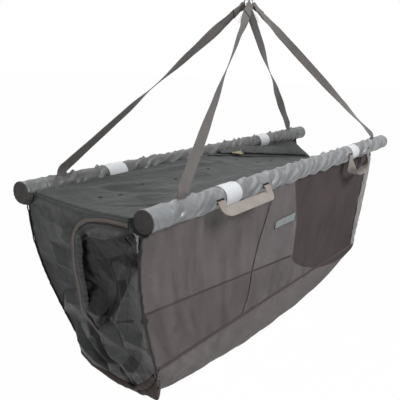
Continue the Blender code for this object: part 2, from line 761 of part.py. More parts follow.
def make_placket(shop):
    """Gathered strip over the rear zip, raised on the flap side."""
    def surface(share, over):
        share = mix(*PLACKET_SHARES, share)
        along, across, height = flap_surface(share, 0)
        _, seat_y, seat_z = flap_surface(share, 1)
        slope = (seat_z - height) / (seat_y - across)
        room = seat_y - across - PLACKET_START - PLACKET_SCALLOP
        out = PLACKET_START + min(PLACKET_WIDTH, room) * over
        rise = (CLOTH + FIT) * sqrt(1 + slope * slope) + PLACKET_LIFT * (1 - over) ** 2
        scallop = PLACKET_SCALLOP * (1 - over) * sin(share * PLACKET_GATHERS * pi) ** 2
        return along, across + out, height + slope * out + rise + scallop

    sheet(shop, "zip_placket", surface, (48, 3), "lid_fabric")


def make_lid_zip(shop, hinge):
    """Coil along the lid's rear edge, with a slider on it and a cloth tab on the slider."""
    def on_edge(share, over):
        last = 1 - 1 / LID_STEPS[1]
        inner, edge = np.array(lid_surface(share, last)), np.array(lid_surface(share, 1))
        back = COIL_SETBACK + COIL_WIDTH * over
        return mix(edge, inner, back / (edge[1] - inner[1]))

    def coil(share, over):
        rise = CLOTH / 2 + FIT + COIL_HEIGHT / 2
        return on_edge(mix(*LID_ZIP_SHARES, share), over) + Z_AXIS * rise

    sheet(shop, "lid_zip", coil, (24, 1), "zip_coil", COIL_HEIGHT, hinge=hinge)
    start, end = [on_edge(share, 0.5) for share in LID_ZIP_SHARES]
    way = unit(end - start)
    base = on_edge(SLIDER_SHARE, 0.5) + Z_AXIS * (CLOTH / 2 + FIT + COIL_HEIGHT + SLIDER_EASE)
    pivot = shop.empty("slider_pivot", tuple(base - hinge.location), hinge)
    pivot.rotation_mode = "QUATERNION"
    pivot.rotation_quaternion = Vector(way).to_track_quat("X", "Z")
    bm = bmesh.new()
    add_box(bm, (SLIDER_LENGTH, SLIDER_WIDTH, SLIDER_HEIGHT), (0, 0, SLIDER_HEIGHT / 2))
    slider = shop.add("lid_slider", finish_mesh(bm, "lid_slider"), "zip_metal", pivot)
    bevel = slider.modifiers.new("cast edges", "BEVEL")
    bevel.width = SLIDER_EDGE
    bevel.segments = 2
    bm = bmesh.new()
    add_box(bm, (TAB_LENGTH, TAB_WIDTH, WEBBING), (TAB_LENGTH / 2, 0, 0))
    turn = shop.empty("tab_pivot", (0, 0, SLIDER_HEIGHT + FIT + WEBBING / 2), pivot)
    tab = shop.add("lid_tab", finish_mesh(bm, "lid_tab"), "tab_tan", turn)
    bevel = tab.modifiers.new("folded edges", "BEVEL")
    bevel.width = WEBBING / 3
    bevel.segments = 2


def make_label(shop):
    """Bare woven label sewn on the front wall."""
    def surface(share, down):
        depth = LABEL_DEPTH - LABEL_HEIGHT / 2 + LABEL_HEIGHT * down
        lean = (half_width(LABEL_DEPTH) - half_width(LABEL_DEPTH + LABEL_HEIGHT)) / LABEL_HEIGHT
        out = (CLOTH + TRIM_THICKNESS) / 2 * sqrt(1 + lean * lean) + FIT
        return LABEL_X + LABEL_WIDTH * (share - 0.5), -half_width(depth) - out, -depth

    sheet(shop, "wall_label", surface, (2, 1), "label_woven", TRIM_THICKNESS)


# End panels

def lid_edge_depth(along, across, rear_edge):
    """Depth of an end panel's top edge at a place across: under the lid or round a pole."""
    gap = CLOTH / 2 + FIT + FIT
    beside = abs(across) - HALF_SPACING
    if abs(beside) < TUBE_CLEAR:
        return sqrt(max(0.0, TUBE_CLEAR ** 2 - beside ** 2)) + FIT
    share = (across + LID_EDGE) / (rear_edge + LID_EDGE)
    return gap - lid_height(along, min(1.0, share))


def end_columns():
    """Places across an end panel's top: close together round the poles, even between."""
    arcs = [HALF_SPACING - TUBE_CLEAR * sin(radians(90) * step / 3) for step in range(4)]
    inner = HALF_SPACING - TUBE_CLEAR
    middle = [mix(-inner, inner, step / 9) for step in range(1, 9)]
    return [-place for place in arcs] + middle + arcs[::-1]


def end_rows(edge_x, along, share, bottom_extra):
    """Rows of an end panel, each from its top edge to the floor's end."""
    rear_edge = zip_line(along)[0]
    rows = []
    for top_across in end_columns():
        over = (top_across + HALF_SPACING) / POLE_SPACING
        low_across = mix(-HALF_FLOOR, HALF_FLOOR, over)
        top = lid_edge_depth(along, top_across, rear_edge)
        bottom = floor_depth(share, over) + bottom_extra
        row = []
        for step in range(8):
            depth = mix(top, bottom, step / 7)
            waist = min(1.0, max(0.0, (depth - HEM) / (SEAM_FRONT_LEFT - HEM)))
            across = mix(top_across, low_across, waist)
            row.append(np.array((edge_x(across, depth), across, -depth)))
        rows.append(row)
    return rows


def fold_across(depth):
    """Across place of the door's fold line at a depth."""
    (top_y, top_z), (low_y, low_z) = DOOR_FOLD_SHARES
    share = (depth / END_BOTTOM_DEPTH - top_z) / (low_z - top_z)
    return mix(top_y, low_y, share) * HALF_SPACING


def left_end_x(across, depth):
    """The left end is straight along the door's fold and bulges out to its edges."""
    fold = fold_across(depth)
    edge = half_width(depth) * (1 if across > fold else -1)
    away = min(1.0, abs((across - fold) / (edge - fold)))
    return left_chord(depth) - left_bulge(depth) * away ** 2 + rear_shift(across)


def right_end_x(across, depth):
    return right_edge(depth) + rear_shift(across)


def make_right_end(shop):
    rows = end_rows(right_end_x, BAG_RIGHT_TOP - PANEL_GAP, 1.0, CLOTH / 2)
    strip(shop, "end_right", rows, "end_fabric", CLOTH)


def door_outline(inset):
    """Door's outline across and down, drawn in by a gap on its zip side only."""
    zip_points = [(y * HALF_SPACING, z * END_BOTTOM_DEPTH) for y, z in DOOR_SHARES]
    fold = [(y * HALF_SPACING, z * END_BOTTOM_DEPTH) for y, z in DOOR_FOLD_SHARES]
    points = zip_points + fold[::-1]
    shifted = []
    for index, point in enumerate(points):
        arriving = unit(np.subtract(point, points[index - 1]))
        leaving = unit(np.subtract(points[(index + 1) % len(points)], point))
        bisector = np.array((-arriving[1] - leaving[1], arriving[0] + leaving[0]))
        shifted.append(np.array(point) + bisector * inset / (1 + np.dot(arriving, leaving)))
    return shifted


def door_cutter(shop, name, inset):
    """Prism along X with the door's outline."""
    bm = bmesh.new()
    start = -BAG_LEFT_TOP - CUT_OVERRUN
    ring = [bm.verts.new((start, across, -depth)) for across, depth in door_outline(inset)]
    face = bm.faces.new(ring)
    made = bmesh.ops.extrude_face_region(bm, geom=[face])["geom"]
    moved = [item for item in made if isinstance(item, bmesh.types.BMVert)]
    reach = BAG_LEFT_TOP - BAG_LEFT_BOTTOM + 4 * CUT_OVERRUN
    bmesh.ops.translate(bm, vec=Vector((reach, 0, 0)), verts=moved)
    bmesh.ops.recalc_face_normals(bm, faces=bm.faces)
    return shop.add_cutter(name, finish_mesh(bm, name))


def door_axis():
    """Top and bottom of the line that the door folds on, just outside the end panel."""
    ends = []
    for across_share, depth_share in DOOR_FOLD_SHARES:
        depth = depth_share * END_BOTTOM_DEPTH
        across = across_share * HALF_SPACING
        ends.append(np.array((left_end_x(across, depth) - 2 * CLOTH, across, -depth)))
    return ends


def make_left_end(shop):
    rows = end_rows(left_end_x, -HALF_LENGTH, 0.0, CLOTH / 2)
    panel = strip(shop, "end_left", rows, "end_fabric", CLOTH)
    cut(panel, door_cutter(shop, "door_opening", -SEAM_GAP / 2))
    hinge = shop.empty("door_pivot", tuple(door_axis()[0]), shop.frame)
    door = strip(shop, "door_panel", rows, "end_fabric", CLOTH, hinge=hinge)
    cut(door, door_cutter(shop, "door_leaf", SEAM_GAP), "INTERSECT")
    return hinge


def build():
    shop = Workshop()
    for side in ("front", "back"):
        make_pole(shop, side)
        make_float(shop, side)
        make_sleeve(shop, side)
        for hand, way in (("left", -1), ("right", 1)):
            make_cuff(shop, side, hand, way)
            make_band(shop, side, hand)
            make_strap(shop, f"{side}_{hand}")
        make_ring(shop, side)
        make_handle_loops(shop, side)
        make_wall(shop, side)
    make_laid_handle(shop, "front_left", radians(45))
    for name in ("front_right", "back_left", "back_right"):
        make_hung_handle(shop, name)
    make_floor(shop)
    hinge = make_lid(shop)
    make_lid_zip(shop, hinge)
    make_flap(shop)
    make_placket(shop)
    make_label(shop)
    make_right_end(shop)
    make_left_end(shop)


build()
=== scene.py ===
from math import acos, atan2, cos, pi, radians, sin, sqrt, tan

import bpy
import numpy as np
from bpy.props import FloatProperty, FloatVectorProperty, PointerProperty
from mathutils import Matrix, Vector
from mathutils.geometry import delaunay_2d_cdt


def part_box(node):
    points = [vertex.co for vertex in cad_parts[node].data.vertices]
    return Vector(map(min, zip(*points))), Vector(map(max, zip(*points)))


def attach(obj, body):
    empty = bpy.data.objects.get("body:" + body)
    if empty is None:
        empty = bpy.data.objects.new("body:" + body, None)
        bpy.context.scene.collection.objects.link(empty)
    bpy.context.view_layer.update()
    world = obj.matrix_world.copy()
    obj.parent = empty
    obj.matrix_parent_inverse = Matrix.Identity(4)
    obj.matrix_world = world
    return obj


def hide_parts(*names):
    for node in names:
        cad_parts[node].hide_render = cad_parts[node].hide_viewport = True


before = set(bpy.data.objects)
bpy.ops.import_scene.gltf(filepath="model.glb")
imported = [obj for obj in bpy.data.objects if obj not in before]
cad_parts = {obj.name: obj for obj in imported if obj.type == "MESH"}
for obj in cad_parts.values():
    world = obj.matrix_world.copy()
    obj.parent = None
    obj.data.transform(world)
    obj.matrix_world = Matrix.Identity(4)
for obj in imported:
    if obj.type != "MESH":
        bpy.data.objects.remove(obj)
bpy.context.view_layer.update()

bl_info = {
    "name": "Weigh sling",
    "version": (1, 0, 0),
    "blender": (4, 5, 0),
    "location": "3D View > Sidebar > Weigh sling",
    "description": "Dresses a weigh sling's frame with its cloth, mesh, webbing, zips and finishes",
    "category": "Object",
}

# Radius of the lid's left edge, rolled down over the end
LID_ROLL = 0.008
# How many times as far as END_CREASES says the left end's cloth stands out
CREASE_DEPTH = 1.9
# Width of a stitch, and how far apart stitches are on thin and on thick cloth
STITCH, CLOSE_STITCHES, WIDE_STITCHES = 0.0006, 0.0026, 0.0034
# The lid's zip as its frame has it: the way its slider runs, and the pivot of its tab
ZIP_WAY = (0.98649, -0.10623, -0.12474)
TAB_PIVOT = (0.09165, 0.07322, -0.38841)
# Rise of the tab's way, by its reach, where it is folded back as far as it goes
FOLDED_BACK_RISE = 0.176
# The photograph's camera: its place, its yaw, pitch down and roll in degrees, and its lens in mm
CAMERA_PLACE, CAMERA_TURNS, CAMERA_LENS = (-1.2347, -0.700, -0.13), (56.55, 14.39, 2.17), 51.29
# Place, aim, size and power of each soft lamp
LAMPS = {
    "key_lamp": ((0.2, -2.5, 1.5), (0.0, 0.0, -0.5), 1.1, 66.0),
    "top_lamp": ((0.2, 0.5, 2.4), (0.0, 0.0, -0.5), 1.4, 38.0),
    "fill_lamp": ((-1.6, -0.3, 2.2), (-0.5, 0.0, -0.5), 0.8, 16.0),
}
WORLD_LIGHT = 0.27
WHITE = (1.0, 1.0, 1.0, 1.0)
FLOOR_DROP, FLOOR_REACH = -1.6, 30

SIDES = ("front", "back")
HANDS = ("left", "right")
CORNERS = ("front_left", "front_right", "back_left", "back_right")
# The handle laid on its sleeve: its lean from straight down, the turn of its webbing at the bottom,
# both in degrees, and how much of its frame's depth it takes up
LAID_LEAN, LAID_TURN, LAID_SHARE = 30, 28, 0.70
# Half the width of the box of stitches on a strap's tail, and where it starts and ends on the tail
TAIL_BOX_HALF, TAIL_BOX_SHARES = 0.0052, (0.45, 0.92)
# The pouch at the floor's front left corner: from and to across the end, depth of its bottom at
# both, and its half thickness
POUCH_ACROSS, POUCH_LOW, POUCH_THICK = (-0.026, -0.1085), (0.402, 0.376), 0.0105
# The torn corner beside the door's zip, across and down the end
TORN_ACROSS, TORN_DOWN = (-0.1405, -0.1270), (0.019, 0.047)
# Where the door's lowest point passes the floor's turn-up as the door opens, how far to each side
# the turn-up is lower there, and by how much of its height
DOOR_PATH, DOOR_PATH_WIDTH, DOOR_DIP = 0.345, 0.08, 0.62

X_AXIS = np.array((1.0, 0.0, 0.0))
Y_AXIS = np.array((0.0, 1.0, 0.0))
Z_AXIS = np.array((0.0, 0.0, 1.0))

# Places along the poles, as shares of half their length
STRAP_SHARE = 0.8367
BAND_SHARES = {"left": -0.600, "right": 0.508}
HANDLE_SHARES = {
    "front_left": (-0.683, -0.392),
    "front_right": (0.437, 0.683),
    "back_left": (-0.728, -0.530),
    "back_right": (0.585, 0.770),
}
# Vent holes, as shares of half a pole's length and of half the spacing
VENT_SHARES = ((-0.883, 0.155), (-0.817, 0.056), (-0.670, 0.226), (-0.510, 0.141),
               (-0.272, 0.226), (0.023, 0.430), (0.080, 0.092), (0.237, 0.169))
# Turn of each hanging strap in degrees, at shares of its way from ring to pole
STRAP_TURNS = {
    "back_left": ((0.00, 0), (0.20, 20), (0.36, -5), (0.56, -41), (0.70, -15), (0.85, -9), (1.0, 0)),
    "front_left": ((0.00, 0), (0.24, -31), (0.42, -52), (0.61, -23), (0.78, -4), (1.0, 0)),
    "back_right": ((0.00, 0), (0.26, -3), (0.50, -49), (0.66, -5), (0.77, 10), (0.90, -7), (1.0, 0)),
    "front_right": ((0.00, 0), (0.22, 21), (0.34, 29), (0.52, 26), (0.72, 3), (0.88, -21), (1.0, 0)),
}
# The end door's zip and fold, as shares of half the spacing and of the left end's depth
DOOR_SHARES = ((-0.740, 0.022), (-0.507, 0.026), (-0.330, 0.034), (-0.127, 0.052), (0.042, 0.086),
               (0.162, 0.139), (0.240, 0.197), (0.310, 0.291), (0.360, 0.416), (0.395, 0.514),
               (0.423, 0.606), (0.352, 0.634), (0.240, 0.697), (0.085, 0.806), (-0.070, 0.866),
               (-0.200, 0.938))
DOOR_FOLD_SHARES = ((-0.790, 0.050), (-0.255, 0.940))
# Creased places of the left end, in the same shares, and how far the cloth stands out at each;
# it is flat from place to place, as stiff coated cloth is
END_CREASES = (
    (-1.20, -0.06, 0.000), (0.00, -0.06, 0.000), (1.20, -0.06, 0.000), (1.10, 0.350, 0.000),
    (-1.10, 0.350, 0.000), (-0.96, 0.700, 0.000), (0.96, 0.700, 0.000), (-0.92, 1.120, 0.000),
    (0.92, 1.120, 0.000), (0.00, 1.160, 0.000),
    (-0.055, 0.088, 0.004), (-0.349, 0.045, 0.006), (-0.697, 0.016, 0.006), (-0.886, 0.009, 0.004),
    (-0.007, 0.125, 0.009), (-0.296, 0.105, 0.012), (-0.464, 0.102, 0.012), (-0.679, 0.076, 0.011),
    (-0.941, 0.035, 0.003), (-0.026, 0.145, -0.004), (-0.279, 0.126, -0.006), (-0.447, 0.123, -0.007),
    (-0.663, 0.096, -0.007), (-0.894, 0.061, -0.005), (-0.168, 0.255, -0.010), (-0.539, 0.189, -0.009),
    (0.070, 0.429, -0.009), (-0.103, 0.488, -0.009), (0.010, 0.577, -0.004), (0.017, 0.273, -0.006),
    (-0.725, 0.128, -0.003), (-0.558, 0.236, -0.003), (-0.353, 0.334, -0.004), (-0.253, 0.393, -0.007),
    (-0.745, 0.196, -0.008), (-0.501, 0.338, -0.006), (-0.974, 0.146, -0.003), (-0.836, 0.226, -0.001),
    (-0.602, 0.337, 0.003), (-0.468, 0.422, 0.006), (-0.224, 0.541, 0.009), (-0.334, 0.543, 0.012),
    (0.007, 0.630, 0.014), (-0.592, 0.513, 0.004), (-0.746, 0.555, 0.004), (-0.429, 0.629, 0.012),
    (-0.685, 0.647, 0.006), (-0.210, 0.587, 0.004), (-0.246, 0.725, 0.005), (-0.113, 0.869, 0.009),
    (-0.117, 0.988, 0.003), (-0.294, 0.757, 0.001), (-0.415, 0.844, 0.006), (-0.808, 0.692, 0.002),
    (-0.768, 0.808, 0.001), (-0.519, 0.558, 0.006), (-0.649, 0.575, 0.001), (0.105, 0.583, 0.002),
    (0.053, 0.707, 0.012), (-0.005, 0.803, 0.014), (-0.050, 0.899, 0.009), (0.427, 0.750, 0.006),
    (0.280, 0.808, 0.008), (0.117, 0.861, 0.008), (-0.042, 0.934, 0.003), (0.208, 0.732, -0.003),
    (0.113, 0.795, -0.003), (0.038, 0.888, 0.000), (0.731, 0.800, 0.005), (0.607, 0.851, 0.008),
    (0.455, 0.899, 0.008), (0.229, 0.946, 0.003), (0.619, 0.791, -0.004), (0.477, 0.844, -0.004),
    (0.315, 0.907, -0.003), (0.780, 0.099, 0.000), (0.623, 0.546, 0.005), (0.708, 0.495, -0.003),
    (0.713, 0.379, -0.005), (0.576, 0.324, 0.004), (0.625, 0.212, 0.002), (0.406, 0.245, -0.002),
    (0.683, 0.680, -0.004),
)
# Places of the left end painted dark as painted shade, where its folds turn away from the light, in the same
# shares
END_PAINTED_SHADE_PLACES = (
    ((-0.002, 0.131), (-0.292, 0.110), (-0.462, 0.105), (-0.675, 0.081), (-0.938, 0.040), (-0.955, 0.073),
     (-0.962, 0.114), (-0.922, 0.171), (-0.785, 0.238), (-0.583, 0.339), (-0.435, 0.431), (-0.231, 0.523),
     (0.005, 0.612), (0.081, 0.616), (0.035, 0.708), (-0.045, 0.835), (-0.102, 0.957), (0.051, 0.903),
     (0.216, 0.844), (0.355, 0.727), (0.451, 0.657), (0.403, 0.523), (0.281, 0.340), (0.182, 0.226)),
    ((-0.215, 0.580), (-0.427, 0.632), (-0.694, 0.648), (-0.117, 0.994), (-0.113, 0.869), (-0.301, 0.756),
     (-0.246, 0.725)),
    ((-0.415, 0.844), (-0.547, 0.842), (-0.640, 0.866), (-0.221, 1.016), (-0.111, 0.996)),
    ((0.765, 0.861), (0.700, 0.998), (0.469, 1.029), (0.160, 1.010), (0.326, 0.963), (0.538, 0.923)),
    ((-0.224, 0.541), (-0.599, 0.504), (-0.589, 0.519), (-0.226, 0.552)),
)

# Folds of the cloth, each from one place to another on its panel with its half width and height.
# Places on a wall are metres along the poles and down from them.
FRONT_WALL_FOLDS = (
    (-0.385, 0.075, -0.150, 0.032, 0.011, 0.0045),
    (-0.400, 0.100, -0.180, 0.052, 0.012, -0.0035),
    (-0.160, 0.024, -0.170, 0.250, 0.020, 0.0040),
    (-0.170, 0.200, -0.240, 0.330, 0.014, 0.0035),
    (-0.391, 0.063, -0.226, 0.045, 0.008, 0.0040),
    (-0.080, 0.160, -0.090, 0.300, 0.018, -0.0050),
    (0.060, 0.060, 0.000, 0.320, 0.018, 0.0060),
    (-0.100, 0.180, -0.150, 0.330, 0.010, 0.0050),
    (-0.020, 0.200, -0.080, 0.330, 0.010, -0.0050),
    (0.110, 0.160, 0.040, 0.330, 0.011, 0.0055),
    (0.180, 0.190, 0.100, 0.330, 0.009, -0.0050),
    (-0.420, 0.200, -0.400, 0.310, 0.012, 0.0050),
    (-0.260, 0.220, -0.290, 0.310, 0.010, -0.0045),
    (0.300, 0.140, 0.150, 0.330, 0.016, 0.0060),
    (0.340, 0.160, 0.200, 0.330, 0.014, -0.0040),
    (0.420, 0.030, 0.480, 0.320, 0.018, 0.0050),
    (-0.520, 0.060, -0.440, 0.300, 0.022, -0.0040),
    (-0.560, 0.120, -0.480, 0.300, 0.010, 0.0040),
    (-0.500, 0.260, -0.430, 0.230, 0.010, -0.0070),
    (-0.330, 0.090, -0.360, 0.300, 0.020, 0.0035),
)
LID_FOLDS = (
    (-0.580, 0.110, -0.330, 0.020, 0.014, 0.0050),
    (-0.430, -0.110, -0.200, 0.060, 0.014, -0.0050),
    (-0.500, -0.115, -0.300, -0.040, 0.012, 0.0045),
    (-0.350, 0.100, -0.050, 0.060, 0.012, 0.0045),
    (-0.480, 0.080, -0.400, -0.060, 0.014, -0.0040),
    (-0.120, -0.060, 0.200, 0.020, 0.020, 0.0026),
    (0.100, -0.090, 0.420, -0.010, 0.018, -0.0026),
    (-0.560, -0.030, -0.480, -0.120, 0.008, -0.0030),
)
BACK_WALL_FOLDS = (
    (-0.350, 0.040, -0.300, 0.320, 0.022, 0.0050),
    (-0.200, 0.060, -0.230, 0.330, 0.020, -0.0045),
    (0.050, 0.040, 0.020, 0.360, 0.024, 0.0050),
    (0.250, 0.060, 0.280, 0.380, 0.020, -0.0050),
    (0.400, 0.040, 0.420, 0.400, 0.018, 0.0050),
)


def linear(hex_colour):
    """Linear light of an sRGB colour written as #rrggbb."""
    parts = [int(hex_colour[at:at + 2], 16) / 255 for at in (1, 3, 5)]
    return tuple(part / 12.92 if part <= 0.04045 else ((part + 0.055) / 1.055) ** 2.4 for part in parts)


def length(name, description, default):
    return FloatProperty(name=name, description=description, default=default, unit="LENGTH", precision=5)


def colour(name, description, hex_colour):
    return FloatVectorProperty(name=name, description=description, default=linear(hex_colour),
                               subtype="COLOR", size=3, min=0.0, max=1.0)


class SlingSizes(bpy.types.PropertyGroup):
    """Sizes of the sling, as its frame was built, in metres."""

    pole_length: length("Pole length", "Length of each pole", 1.200)
    pole_spacing: length("Pole spacing", "Distance between the poles' centres", 0.2838)
    hang_height: length("Hang height", "From the poles' centres up to the hook", 0.3833)
    hook_shift_x: length("Hook shift along", "How far the hook is from the middle, along the poles", -0.0153)
    hook_shift_y: length("Hook shift across", "How far the hook is from the middle, across the poles", 0.0270)
    float_radius: length("Float radius", "Radius of the foam round a pole", 0.0162)
    cuff_length: length("Cuff length", "Length of a sleeve's plain end", 0.055)
    cloth: length("Cloth", "Thickness of the coated cloth", 0.0012)
    fit: length("Fit", "Gap between pieces that touch", 0.0003)
    seam_gap: length("Seam gap", "Gap between panels at a seam", 0.0004)
    webbing: length("Webbing", "Thickness of the webbing", 0.0015)
    webbing_width: length("Webbing width", "Width of the straps and handles", 0.024)
    gather_height: length("Gathers", "How far the sleeve's gathers stand up", 0.0050)
    band_width: length("Band width", "Width of a reflective band", 0.056)
    band_thickness: length("Band thickness", "Thickness of a reflective band", 0.0008)
    ring_radius: length("Ring radius", "Middle radius of a ring", 0.0115)
    ring_wire: length("Ring wire", "Radius of a ring's wire", 0.0016)
    ring_loop_width: length("Loop width", "Width of a strap inside its ring", 0.014)
    ring_loop_ease: length("Loop ease", "Room between a ring's wire and its strap", 0.0009)
    strap_tail: length("Strap tail", "Length of a strap's sewn tail", 0.040)
    strap_taper: length("Strap taper", "Way over which a strap opens to its full width", 0.050)
    base_bend: length("Base bend", "Radius of a strap's bend above its sleeve", 0.0145)
    wrap_turn: length("Wrap turn", "Radius of webbing's turn onto a float", 0.0030)
    handle_laid_depth: length("Laid handle", "How far the folded handle stands out", 0.030)
    handle_hung_depth: length("Hung handle", "How far a hanging handle reaches down", 0.062)
    handle_corner: length("Handle corner", "Radius of the folded handle's corners", 0.0135)
    handle_lug: length("Handle lug", "How far a handle's pivot stands out of its sleeve", 0.0022)
    left_top: length("Left end, top", "Length to the left end's top", 0.604)
    left_bottom: length("Left end, bottom", "Length to the left end's bottom", 0.487)
    left_bulge_depth: length("Left bulge", "How far the left end's edges bulge", 0.0205)
    right_top: length("Right end, top", "Length to the right end's top", 0.503)
    right_bulge_depth: length("Right bulge", "How far the right end bulges", 0.036)
    rear_shift_depth: length("Rear shift", "How far the rear wall sits to the right", 0.020)
    floor_width: length("Floor width", "Width between the floor's seams", 0.216)
    seam_front_left: length("Front seam, left", "Depth of the front floor seam at its left", 0.310)
    seam_front_right: length("Front seam, right", "Depth of the front floor seam at its right", 0.342)
    seam_rear_left: length("Rear seam, left", "Depth of the rear floor seam at its left", 0.336)
    seam_rear_right: length("Rear seam, right", "Depth of the rear floor seam at its right", 0.439)
    floor_left: length("Floor, left", "Depth of the floor at its left end", 0.394)
    floor_right: length("Floor, right", "Depth of the floor at its right end", 0.447)
    floor_belly: length("Belly", "How far the floor's middle hangs lower", 0.050)
    end_depth: length("End depth", "Depth of the left end", 0.394)
    lid_rise: length("Lid rise", "Height of the lid's front edge", 0.002)
    lid_sag_left: length("Lid sag, left", "How far the lid sags at its left", 0.006)
    lid_sag_right: length("Lid sag, right", "How far the lid sags at its right", 0.024)
    zip_break: length("Zip bend", "Where the rear zip leaves the pole", 0.050)
    zip_end_y: length("Zip end, across", "Where the rear zip ends, across the poles", 0.057)
    zip_end_drop: length("Zip end, drop", "How far the rear zip's end lies lower", 0.070)
    vent_radius: length("Vent radius", "Radius of the lid's vent holes", 0.0035)
    label_width: length("Label width", "Width of the label", 0.108)
    label_height: length("Label height", "Height of the label", 0.020)
    label_along: length("Label place", "Place of the label's middle along the poles", -0.064)
    label_depth: length("Label depth", "Depth of the label's middle", 0.119)
    floor_sag: length("Floor sag", "How far the floor's cloth gives in its middle", 0.026)
    upright_tape: length("Upright seam", "Width of the tape on the front wall's upright seam", 0.0036)
    bottom_tape: length("Bottom seam", "Width of the tape on the walls' bottom seams", 0.0075)
    zip_tape_width: length("Zip tape", "Width of the door zip's tape", 0.0125)
    zip_coil_width: length("Zip coil", "Width of the door zip's coil", 0.0068)
    piping_radius: length("Piping", "Radius of the piping beside the door's zip", 0.0011)
    door_cover_width: length("Door zip cover", "Width of the gathered strip beside the door's zip", 0.0150)
    binding_width: length("Binding", "Width of the binding down the left end's sides", 0.0048)
    turn_up_height: length("Turn-up", "Height of the floor's turn-up over the left end", 0.016)
    lid_cover_width: length("Lid zip cover", "Width of the gathered strip over the lid's zip", 0.0175)
    lid_cover_puff: length("Lid cover puff", "How far the lid zip's cover stands up", 0.0160)
    slider_length: length("Slider length", "Length of the lid's slider", 0.0116)
    slider_width: length("Slider width", "Width of the lid's slider", 0.0084)
    slider_thickness: length("Slider thickness", "Thickness of the lid's slider", 0.0026)
    tab_length: length("Tab length", "Length of the slider's woven tab", 0.0400)
    tab_width: length("Tab width", "Width of the slider's woven tab", 0.0150)

    @property
    def half_length(self):
        return self.pole_length / 2

    @property
    def half_spacing(self):
        return self.pole_spacing / 2

    @property
    def wrap_radius(self):
        return self.float_radius + 2 * self.fit + self.webbing / 2

    @property
    def sleeve_inner(self):
        return self.wrap_radius + self.webbing / 2 + self.fit * 1.5

    @property
    def sleeve_radius(self):
        return self.sleeve_inner + self.cloth

    @property
    def band_radius(self):
        return self.sleeve_radius + self.fit + self.band_thickness

    @property
    def hem(self):
        return self.band_radius + self.fit

    @property
    def hinge_radius(self):
        return self.sleeve_radius + self.handle_lug

    @property
    def lid_edge(self):
        return self.half_spacing - self.hem - self.cloth / 2

    @property
    def half_floor(self):
        return self.floor_width / 2

    @property
    def panel_gap(self):
        return self.cloth + 2 * self.seam_gap

    @property
    def ring_spread(self):
        return self.ring_wire * 1.45 + self.fit


class SlingColours(bpy.types.PropertyGroup):
    """Colours of the sling's cloths, as they look in plain light; the back sleeve's colour is darkened as
    painted shade, and one colour is the painted shade itself.
    """

    sleeve: colour("Front sleeve", "Glazed cloth round the front pole", "#85878a")
    # Painted shade: the front sleeve's cloth, painted darker for the shade that the back pole hangs in
    back_sleeve: colour("Back sleeve", "Glazed cloth round the back pole", "#565758")
    cuff: colour("Cuff", "Plain ends of the sleeves", "#76797b")
    disc: colour("End disc", "Dull cloth over the poles' ends", "#474443")
    lid: colour("Lid", "Coated cloth of the lid", "#2f3131")
    end: colour("End", "Coated cloth of the two ends", "#454647")
    # The colour that painted shade mixes cloth towards, in the left end's shaded places and the sleeves'
    # gather valleys
    shade_colour: colour("Lining", "Dark side of the coated cloth", "#171315")
    binding: colour("Binding", "Folded cloth over raw edges", "#2e2a29")
    cover: colour("Zip cover", "Gathered strip over a zip", "#303131")
    wall: colour("Wall mesh", "Knitted mesh of the long walls", "#5c5253")
    floor: colour("Floor mesh", "Knitted mesh of the floor", "#625757")
    hem: colour("Hem", "Doubled mesh at seams and corners", "#524846")
    strap: colour("Strap", "Webbing of the hanging straps", "#595553")
    handle: colour("Handle", "Webbing of the handles", "#8a827c")
    band: colour("Band", "Reflective tape", "#cccfd2")
    label: colour("Label", "Bare woven label", "#7c8484")
    thread: colour("Thread", "Stitching", "#55504c")
    pale_thread: colour("Pale thread", "Stitching on the bands and the label", "#b4b7b8")
    edge: colour("Edge strip", "Coated cloth down the front wall's right edge", "#7d7a78")
    frayed: colour("Frayed cloth", "Cloth's worn pale edge", "#94979a")
    coil: colour("Zip coil", "Nylon coil of the zips", "#786d65")
    slider: colour("Slider", "Painted slider of the lid's zip", "#2c2c2c")
    tab: colour("Pull tab", "Woven tab of the lid's zip", "#7d7458")
    tube: colour("Tube", "Drawn aluminium of the poles", "#b9bbbd")
    plug: colour("Plug", "Moulded plugs in the poles", "#222222")
    foam: colour("Foam", "Foam round the poles", "#2b2b2b")
    steel: colour("Ring", "Wire of the rings", "#8d8f90")


# Numbers

def unit(vector):
    return np.asarray(vector, float) / np.linalg.norm(vector)


def mix(start, end, share):
    return start + (end - start) * share


def ease(share):
    share = np.clip(share, 0.0, 1.0)
    return share * share * (3 - 2 * share)


def to_points(*parts):
    """Points from their places along each axis."""
    return np.stack(np.broadcast_arrays(*parts), axis=-1)


def in_frame(centre, axes, *reaches):
    """Points at these reaches along three axes from a centre."""
    return centre + sum(axis * reach[..., None] for axis, reach in zip(axes, np.broadcast_arrays(*reaches)))


def hold(share, start, end):
    """Grows from 0 at both ends of a way to 1 at these shares from them."""
    return ease(share / start) * ease((1 - share) / end)


def follow(table, share):
    """Smooth curve through (share, value) pairs."""
    for (at, value), (next_at, next_value) in zip(table, table[1:]):
        if share <= next_at:
            return mix(value, next_value, ease((share - at) / (next_at - at)))
    return table[-1][1]


LOW_BITS = 0x7FFFFFFF


